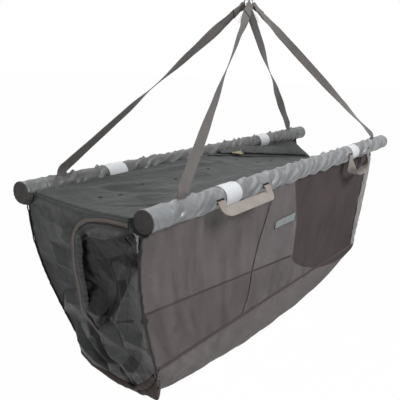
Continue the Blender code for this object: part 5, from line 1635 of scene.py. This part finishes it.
class SLING_OT_left_end(bpy.types.Operator):
    """The left end with its zipped door"""

    bl_idname = "sling.left_end"
    bl_label = "Left end and door"

    def execute(self, context):
        s = context.scene.sling_sizes
        self.cloth(s)
        self.zip(s)
        self.edges(s)
        self.bottom(s)
        return {"FINISHED"}

    def cloth(self, s):
        across, depth = end_grid(s, -s.half_length, 0.0, 132, 170)
        outline = door_outline(s)
        cell = inside_outline(outline, (across[:-1, :-1] + across[1:, 1:]) / 2,
                              (depth[:-1, :-1] + depth[1:, 1:]) / 2)
        touched = np.zeros(across.shape, int)
        around = np.zeros(across.shape, int)
        for rows in (slice(0, -1), slice(1, None)):
            for columns in (slice(0, -1), slice(1, None)):
                touched[rows, columns] += cell
                around[rows, columns] += 1
        edge = (touched > 0) & (touched < around)
        near_y, near_z = onto_outline(outline, across, depth)
        across, depth = np.where(edge, near_y, across), np.where(edge, near_z, depth)
        smooth = to_points(left_end_x(s, across, depth), across, -depth)
        points = on_left_end(s, across, depth)
        # Painted shade marks of the end's cloth and its door
        dark = painted_end_shade(s, across, depth)
        for name, keep, body, solid in (("end_cloth_left", ~cell, "sling", "end_left"),
                                        ("door_cloth", cell, "door", "door_panel")):
            show_sheet(s, name, points, smooth, END_LOOK, s.cloth * 0.6, ("hung", BOTH_SLEEVES), False, keep,
                       dark, body=body, stands_for=[solid])

    def zip(self, s):
        path, normals = left_end_line(s, ((-0.830, 0.022), *DOOR_SHARES), 220)
        path = path + normals * s.cloth * 0.3
        for name, section, look in (
                ("end_zip_tape", flat_section(s.zip_tape_width, 0.0006, 0.0003), END_LOOK),
                ("end_zip_coil", flat_section(s.zip_coil_width, 0.0014, 0.0010), ("nylon_coil", "zip_coil")),
                ("end_zip_piping", round_section(s.piping_radius, 0.0006) + (0.0054, 0), BINDING_LOOK)):
            show_line(s, name, path, normals, section, look)
        path, normals = path[86:152], normals[86:152]
        share = np.linspace(0, 1, len(path))[:, None]
        over = np.linspace(0, 1, 9)[None, :]
        gather = np.sin(share * 46 * pi + 2 * np.sin(share * 21))
        wide = (s.door_cover_width + 0.0012 * gather) * ease((share + 0.1) / 0.3) * ease((1.1 - share) / 0.3)
        out = 0.0012 + 0.0022 * np.sin(pi * over) * (0.6 + 0.4 * gather) + 0.0008 * (1 - over)
        points = sweep(path, normals, to_points(0.0060 + wide * over, out))[1:-1]
        show_sheet(s, "door_zip_cover", points, points, ("gathered_zip_cover", "end_fabric"), s.cloth * 0.6,
                   ("gathered", ["door_cloth"]), body="door")

    def edges(self, s):
        for side, way in (("front", -1), ("back", 1)):
            depth = np.linspace(s.hem + 0.002, s.seam_front_left if side == "front" else s.seam_rear_left, 90)
            across = way * half_width(s, depth)
            wander = waves(depth, 0.0, (0.0016, 0.020, 1, 31 + way), (0.0008, 0.007, 1, 32))
            path = on_left_end(s, across, depth) + to_points(wander * 0.7, way * np.abs(wander), 0.0)
            normals = unit((-1.0, way * 0.9, 0.0))
            width = s.binding_width + 0.0014 * waver(depth / 0.013, 0.0, 40) + 0.0025 * (side == "back")
            width += 0.0080 * np.exp(-((depth - 0.182) / 0.008) ** 2) * (side == "front")
            section = np.stack([flat_section(size, 0.0010, 0.0012) for size in width])
            show_line(s, f"end_binding_left_{side}", path, normals, section, BINDING_LOOK)
            around, over = grid(80, 8)
            turn = np.radians(mix(-55, 100, around))
            reach = mix(s.hem + 0.0022, s.sleeve_radius + 0.0012, over)
            reach = reach + 0.0009 * np.sin(pi * over) * (1 + np.sin(around * 60))
            across, low = way * (s.half_spacing - reach * np.sin(turn)), reach * np.cos(turn)
            along = mix(left_end_x(s, across, low) - 0.0010, 0.0015 - s.half_length, over)
            points = to_points(along, across, -low)
            show_sheet(s, f"end_gathers_left_{side}", points, points, ("gathered_zip_cover", "end_fabric"),
                       s.cloth * 0.4, ("gathered", [f"cuff_cloth_{side}_left"]))
        down, over = grid(40, 16)
        across, depth = mix(*TORN_ACROSS, over), mix(*TORN_DOWN, down)
        depth = depth + 0.004 * waver(over * 4, 0.0, 95) * ease((down - 0.4) / 0.6)
        flat = on_left_end(s, across, depth) - X_AXIS * 0.0022
        points = flat - X_AXIS * np.maximum(0.0, 0.003 + 0.004 * crumple(across, depth, 0.016, 96))[..., None]
        show_sheet(s, "end_torn_corner", points, flat, ("frayed_polyester", "end_fabric"), s.cloth * 0.5,
                   ("folded", ["end_cloth_left"]))

    def bottom(self, s):
        """The floor's mesh turned up over the end, and the doubled mesh at its front corner."""
        over = np.linspace(0.0, 1.0, 120)[:, None]
        up = np.linspace(0, 1, 12)[None, :]
        low = floor_depth(s, 0.0, over) + 0.003
        height = s.turn_up_height * hold(over, 0.06, 0.10) * (1 + 0.25 * waver(over / 0.2, 0.0, 71)) + 0.004
        height *= 1 - DOOR_DIP * np.exp(-((over - DOOR_PATH) / DOOR_PATH_WIDTH) ** 2)
        depth = low - height * up
        across = mix(-s.half_floor, s.half_floor, over)
        puff = 0.0045 * np.sin(pi * np.clip(up * 0.85 + 0.1, 0, 1)) + waves(over, up, (0.0008, 0.05, 0.6, 72))
        flat = to_points(left_end_x(s, across, depth) - 0.0022, across, -depth)
        points = flat - X_AXIS * puff[..., None]
        points[..., 0] -= 0.6 * left_end_lift(s, across * np.ones_like(depth), depth)
        show_sheet(s, "floor_turn_up", points, flat, DOUBLED_LOOK, s.cloth, ("folded", ["end_cloth_left"]))
        share, around = grid(40, 40)
        across = mix(*POUCH_ACROSS, share)
        over = (across + s.half_floor) / s.floor_width
        top = floor_depth(s, 0.0, np.maximum(over, 0.0)) - 0.004
        low = mix(*POUCH_LOW, share) + 0.003 * waver(share * 5, 0.0, 73)
        low = mix(top + 0.004, low, ease(share / 0.25) ** 0.6 * ease((1.12 - share) / 0.22))
        turn = mix(-0.5, 1.0, around) * pi
        thick = POUCH_THICK * ease(share / 0.2) * ease((1.10 - share) / 0.25)
        thick = thick * (1 + 0.20 * waver(share * 5, around * 4, 74))
        middle, reach = (top + low) / 2, (low - top) / 2
        along = left_end_x(s, across, top) + 0.006 - thick * np.cos(turn)
        points = to_points(along + 0.0010 * crumple(across, middle, 0.02, 75), across,
                           -middle - reach * np.sin(turn))
        show_sheet(s, "corner_patch", points, points, DOUBLED_LOOK, s.cloth, ("folded", ["floor_turn_up"]))


class SLING_OT_right_end(bpy.types.Operator):
    """The plain right end"""

    bl_idname = "sling.right_end"
    bl_label = "Right end"

    def execute(self, context):
        s = context.scene.sling_sizes
        across, depth = end_grid(s, s.right_top - s.panel_gap, 1.0, 96, 120)
        smooth = to_points(right_end_x(s, across, depth), across, -depth)
        points = smooth.copy()
        edge = ease((half_width(s, depth) - np.abs(across)) / 0.02) * ease((depth - 0.03) / 0.03)
        wave = 0.0020 * crumple(across, depth, 0.070, 14) + waves(across, depth, (0.003, 0.08, 0.14, 9))
        points[..., 0] += wave * edge
        show_sheet(s, "end_cloth_right", points, smooth, END_LOOK, s.cloth * 0.8, ("hung", BOTH_SLEEVES),
                   stands_for=["end_right"])
        return {"FINISHED"}


def waved_lid(s, share, over):
    """Places of the lid with its waves, which die out where it is sewn."""
    points = lid_points(s, share, over)
    along, across = points[..., 0], points[..., 1]
    height = waves(along, across, (0.0026, 0.12, 0.06, 17)) + 0.0014 * crumple(along, across, 0.09, 6)
    height += fold_height(along, across, LID_FOLDS)
    points[..., 2] += height * hold(over, 0.10, 0.05) * hold(share, 0.02, 0.02)
    return points


def lid_cloth(s, share, over):
    """Places of the lid with its waves, its left edge rolled down over the end."""
    points = waved_lid(s, share, over)
    along, across = points[..., 0], points[..., 1]
    edge = points[:1, :, 0]
    inward = np.clip((along - edge) / LID_ROLL, 0, 1)
    roll = LID_ROLL * (1 - np.sqrt(np.maximum(0.0, 1 - (1 - inward) ** 2)))
    points[..., 2] -= roll * ease((s.lid_edge - np.abs(across)) / 0.010)
    return points


def on_lid(s, along, across):
    """Place on the waved lid nearest above a place given along and across the poles."""
    share = (along + s.half_length) / (s.right_top - s.panel_gap + s.half_length)
    edge = zip_line(s, along)[0] - s.seam_gap / 2
    over = (across + s.lid_edge) / (edge + s.lid_edge)
    return waved_lid(s, share, over)


class SLING_OT_lid(bpy.types.Operator):
    """The lid with its vent holes, and the flap behind its zip"""

    bl_idname = "sling.lid"
    bl_label = "Lid and rear flap"

    def execute(self, context):
        s = context.scene.sling_sizes
        share, over = grid(320, 90)
        share = share ** 1.15
        lid = show_sheet(s, "lid_cloth", lid_cloth(s, share, over), lid_points(s, share, over), LID_LOOK,
                         s.cloth * 0.8, ("stretched", ["sleeve_cloth_front"]), body="lid",
                         stands_for=["lid_panel"])
        self.vents(s, lid)
        share, over = grid(160, 30)
        smooth = flap_points(s, share, over)
        cloth = smooth.copy()
        cloth[..., 2] += waves(cloth[..., 0], over, (0.0022, 0.06, 0.7, 44)) * hold(over, 0.2, 0.2)
        show_sheet(s, "flap_cloth", cloth, smooth, LID_LOOK, s.cloth * 0.8, ("hung", ["sleeve_cloth_back"]),
                   stands_for=["rear_flap"])
        return {"FINISHED"}

    def vents(self, s, lid):
        """Cuts the holes, sews a rim round each and backs it with a dark mesh disc, black as painted shade of
        the lid's inside.
        """
        turns = np.linspace(0, 2 * pi, 25)
        for number, (along_share, across_share) in enumerate(VENT_SHARES):
            along, across = along_share * s.half_length, across_share * s.half_spacing
            centre = on_lid(s, np.array(along), np.array(across))
            around = to_points(np.cos(turns), np.sin(turns), 0 * turns)
            drill = bpy.data.meshes.new("drill")
            rings = [tuple(place(s, centre + around[at] * s.vent_radius + Z_AXIS * height))
                     for height in (-0.012, 0.012) for at in range(24)]
            sides = [(at, (at + 1) % 24, 24 + (at + 1) % 24, 24 + at) for at in range(24)]
            drill.from_pydata(rings, [], sides + [tuple(range(23, -1, -1)), tuple(range(24, 48))])
            cutter = bpy.data.objects.new("drill", drill)
            bpy.context.scene.collection.objects.link(cutter)
            hole = lid.modifiers.new("vent hole", "BOOLEAN")
            hole.operation, hole.solver, hole.object = "DIFFERENCE", "EXACT", cutter
            settle(lid, "vent hole")
            bpy.data.objects.remove(cutter)
            path = centre + around * (s.vent_radius + 0.0004) + Z_AXIS * s.cloth * 0.4
            rim = sweep(path, Z_AXIS, round_section(0.0006, 0.0001, 8))[1:-1]
            share = np.linspace(0, 1, 4)[:, None, None]
            # Dark disc under each hole, black as painted shade of the lid's inside
            shade_disc = centre + around[None] * share * (s.vent_radius + 0.002) - Z_AXIS * 0.0014
            for name, points in (("rim", rim), ("mesh", shade_disc)):
                show(f"vent_{name}_{number}", grid_mesh(name, place(s, points), True),
                     "folded_polyester_binding", "lid_fabric", body="lid")


class SLING_OT_lid_zip(bpy.types.Operator):
    """The lid's zip with its slider, its woven tab and its gathered cover"""

    bl_idname = "sling.lid_zip"
    bl_label = "Lid zip"

    def execute(self, context):
        s = context.scene.sling_sizes
        low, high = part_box("lid_zip")
        start = np.array((low[0], high[1] - 0.0036, high[2] - 0.0016))
        end = np.array((high[0], low[1] + 0.0036, low[2] + 0.0004))
        path = mix(start, end, np.linspace(0, 1, 160)[:, None])
        coil = sweep(path, unit((0.12, 0.0, 1.0)), flat_section(0.0042, 0.0010, 0.0008))
        # The coil is drawn dark as painted shadow under the cover
        show("lid_zip_coil", grid_mesh("coil", coil, True), "dark_nylon_coil", "zip_coil", body="lid",
             stands_for=["lid_zip"])
        self.slider(s)
        self.tab(s)
        self.cover(s)
        return {"FINISHED"}

    def axes(self):
        """The way along the zip, across it and up from it."""
        way = unit(ZIP_WAY)
        across = unit(np.cross(Z_AXIS, way))
        return way, across, np.cross(way, across)

    def slider(self, s):
        centre = sum(np.array(corner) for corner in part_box("lid_slider")) / 2
        axes = self.axes()
        share, around = grid(24, 32)
        turn = 2 * pi * around
        tip = np.sin(pi * np.clip(share, 0.02, 0.98))
        width = (s.slider_width / 2 - 0.0011 * np.exp(-((share - 0.5) / 0.18) ** 2)) * tip ** 0.2
        squared_cos, squared_sin = (np.abs(wave) ** 0.5 * np.sign(wave)
                                    for wave in (np.cos(turn), np.sin(turn)))
        body = in_frame(centre, axes, s.slider_length * (share - 0.5), width * squared_cos,
                        s.slider_thickness / 2 * tip ** 0.25 * squared_sin)
        show("slider_body", grid_mesh("slider", body, True), "painted_zinc_slider", "zip_metal",
             body="lid_slider", stands_for=["lid_slider"])
        turns = np.linspace(0, pi, 15)
        path = in_frame(centre, axes, 0.0034 * np.cos(turns), 0 * turns, 0.0008 + 0.0020 * np.sin(turns))
        bridge = sweep(path, axes[1], round_section(0.0006, 0.0, 8))
        show("slider_bridge", grid_mesh("bridge", bridge, True), "painted_zinc_slider", "zip_metal",
             body="lid_slider")

    def tab(self, s):
        """Woven tab, twisted up only so far that it still folds back clear of the lid."""
        share, over = grid(40, 10)
        piece = show("tab_webbing", grid_mesh("tab", self.tab_points(s, share, 2 * over - 1)),
                     "polyester_tab_webbing", "tab_tan", body="lid_tab", stands_for=["lid_tab"])
        round_off(piece, s.webbing * 0.9)
        for name, at in (("inner", 0.15), ("outer", 0.90)):
            row, side = grid(3, 20)
            seat = self.tab_points(s, at + 0.02 * (row - 0.5), 1.65 * (side - 0.5))
            up = unit(np.cross(seat[2, 10] - seat[0, 10], seat[1, 19] - seat[1, 0]))
            up = up * np.sign(up[2])
            show_stitches(f"tab_stitches_{name}", seat[1] + up * s.webbing * 0.45, up, 0.0024,
                          ("polyester_thread", "tab_tan"), body="lid_tab")

    def tab_points(self, s, share, side):
        """Places on the tab by share of its length and by side, -1 to 1, of its width."""
        reach = s.tab_length * share
        rise = -0.0012 * share + 0.0006 * np.sin(2.2 * pi * share)
        half = s.tab_width / 2 * (1 - 0.04 * np.cos(2 * pi * share))
        highest = reach * FOLDED_BACK_RISE + 0.0004 + 0.0010 * share
        stand = np.minimum(highest / (2 * half), 0.95)
        return in_frame(TAB_PIVOT, self.axes(), reach, side * half * np.sqrt(1 - stand ** 2),
                        rise + (side + 1) * half * stand)

    def cover(self, s):
        """Gathered strip over the zip, scalloped where it is sewn."""
        share, over = grid(420, 14)
        part = mix(0.12, 0.985, share)
        along = mix(-s.zip_break, s.right_top - s.panel_gap, part)
        across, height = zip_line(s, along)
        seat = flap_points(s, part, np.ones_like(part))
        slope = (seat[..., 2] - height) / (seat[..., 1] - across)
        room = np.minimum(s.lid_cover_width, seat[..., 1] - across - 0.0045)
        gather = np.sin(share * 62 * pi + 2.0 * np.sin(share * 17))
        out = 0.0040 + room * over * (1 + 0.05 * gather) - 0.0012 * (1 - over) * (gather > 0) * gather
        puff = s.lid_cover_puff * ease(part / 0.30) * ease((1.0 - part) / 0.10)
        rise = 0.0018 + puff * np.sin(pi * np.clip(over * 0.72 + 0.05, 0, 1)) ** 0.7 * (0.85 + 0.15 * gather)
        rise += 0.0010 * crumple(along, out, 0.016, 51)
        points = to_points(along + rear_shift(s, across), across + out, height + slope * out + rise)
        show_sheet(s, "lid_zip_cover", points, points, ("gathered_zip_cover", "lid_fabric"), s.cloth * 0.7,
                   ("gathered", ["flap_cloth"]), stands_for=["zip_placket"])


# Stage

def white_share(tree, seen):
    """One where the backdrop has to read as white, as nought it only lights the sling."""
    share = seen.outputs["Is Camera Ray"]
    for ray in ("Is Glossy Ray", "Is Transmission Ray"):
        share = add_node(tree, "Math", {0: share, 1: seen.outputs[ray]}, operation="MAXIMUM")
    return share


class SLING_OT_stage(bpy.types.Operator):
    """Pale floor, soft lamps, plain world and the camera"""

    bl_idname = "sling.stage"
    bl_label = "Stage and camera"

    def execute(self, context):
        scene = context.scene
        scene.view_settings.view_transform = "Standard"
        self.camera(scene)
        self.floor(scene)
        self.world(scene)
        for name, settings in LAMPS.items():
            self.lamp(scene, name, *settings)
        return {"FINISHED"}

    def camera(self, scene):
        yaw, pitch, roll = (radians(turn) for turn in CAMERA_TURNS)
        forward = Vector((sin(yaw) * cos(pitch), cos(yaw) * cos(pitch), -sin(pitch)))
        right = Vector((cos(yaw), -sin(yaw), 0.0))
        up = right.cross(forward)
        tilted_right = right * cos(roll) + up * sin(roll)
        tilted_up = up * cos(roll) - right * sin(roll)
        camera = bpy.data.objects.new("camera", bpy.data.cameras.new("camera"))
        scene.collection.objects.link(camera)
        camera.matrix_world = Matrix.Translation(CAMERA_PLACE) @ Matrix(
            (tilted_right, tilted_up, -forward)).transposed().to_4x4()
        camera.data.sensor_width = 36.0
        camera.data.lens = CAMERA_LENS
        camera.data.clip_start = 0.05
        scene.camera = camera

    def floor(self, scene):
        corners = [(x * FLOOR_REACH, y * FLOOR_REACH, FLOOR_DROP)
                   for x, y in ((-1, -1), (1, -1), (1, 1), (-1, 1))]
        mesh = bpy.data.meshes.new("pale_floor")
        mesh.from_pydata(corners, [], [(0, 1, 2, 3)])
        floor = bpy.data.objects.new("pale_floor", mesh)
        scene.collection.objects.link(floor)
        material, tree, shader, _, _ = new_material("pale_floor_paint", linear("#f0f0f0"), 0.9)
        seen = add_node(tree, "LightPath")
        glow = add_node(tree, "Emission", {"Color": WHITE, "Strength": 1.0})
        share = add_node(tree, "Math", {0: white_share(tree, seen), 1: 0.985}, operation="MULTIPLY")
        blend = add_node(tree, "MixShader", {0: share, 1: shader, 2: glow})
        fill(tree, tree.nodes["Material Output"], {"Surface": blend})
        mesh.materials.append(material)

    def world(self, scene):
        world = bpy.data.worlds.new("plain_studio")
        world.use_nodes = True
        tree = world.node_tree
        tree.nodes.clear()
        seen = add_node(tree, "LightPath")
        lit = add_node(tree, "Background", {"Color": WHITE, "Strength": WORLD_LIGHT})
        white = add_node(tree, "Background", {"Color": WHITE, "Strength": 1.0})
        blend = add_node(tree, "MixShader", {0: white_share(tree, seen), 1: lit, 2: white})
        add_node(tree, "OutputWorld", {"Surface": blend}, is_active_output=True)
        scene.world = world

    def lamp(self, scene, name, spot, aim, size, power):
        light = bpy.data.lights.new(name, "AREA")
        light.shape = "DISK"
        light.size = size
        light.energy = power
        lamp = bpy.data.objects.new(name, light)
        scene.collection.objects.link(lamp)
        lamp.location = spot
        lamp.rotation_euler = (Vector(aim) - Vector(spot)).to_track_quat("-Z", "Y").to_euler()


class SLING_PT_panel(bpy.types.Panel):
    """Lists the sling's pieces in the sidebar"""

    bl_idname = "SLING_PT_panel"
    bl_label = "Weigh sling"
    bl_space_type = "VIEW_3D"
    bl_region_type = "UI"
    bl_category = "Weigh sling"

    def draw(self, context):
        for operator in OPERATORS:
            self.layout.operator(operator.bl_idname)
        for group in (context.scene.sling_sizes, context.scene.sling_colours):
            box = self.layout.box()
            for name in group.__annotations__:
                box.prop(group, name)


OPERATORS = (SLING_OT_stage, SLING_OT_rings, SLING_OT_sleeves, SLING_OT_cuffs, SLING_OT_bands,
             SLING_OT_straps, SLING_OT_handles, SLING_OT_walls, SLING_OT_floor, SLING_OT_left_end,
             SLING_OT_right_end, SLING_OT_lid, SLING_OT_lid_zip)
CLASSES = (SlingSizes, SlingColours, *OPERATORS, SLING_PT_panel)


def register():
    for item in CLASSES:
        bpy.utils.register_class(item)
    bpy.types.Scene.sling_sizes = PointerProperty(type=SlingSizes)
    bpy.types.Scene.sling_colours = PointerProperty(type=SlingColours)


def unregister():
    del bpy.types.Scene.sling_colours
    del bpy.types.Scene.sling_sizes
    for item in reversed(CLASSES):
        bpy.utils.unregister_class(item)


def main():
    register()
    bpy.ops.sling.stage()
    bpy.ops.sling.rings()
    bpy.ops.sling.sleeves()
    bpy.ops.sling.cuffs()
    bpy.ops.sling.bands()
    bpy.ops.sling.straps()
    bpy.ops.sling.handles()
    bpy.ops.sling.walls()
    bpy.ops.sling.floor()
    bpy.ops.sling.left_end()
    bpy.ops.sling.right_end()
    bpy.ops.sling.lid()
    bpy.ops.sling.lid_zip()


if __name__ == "__main__":
    main()
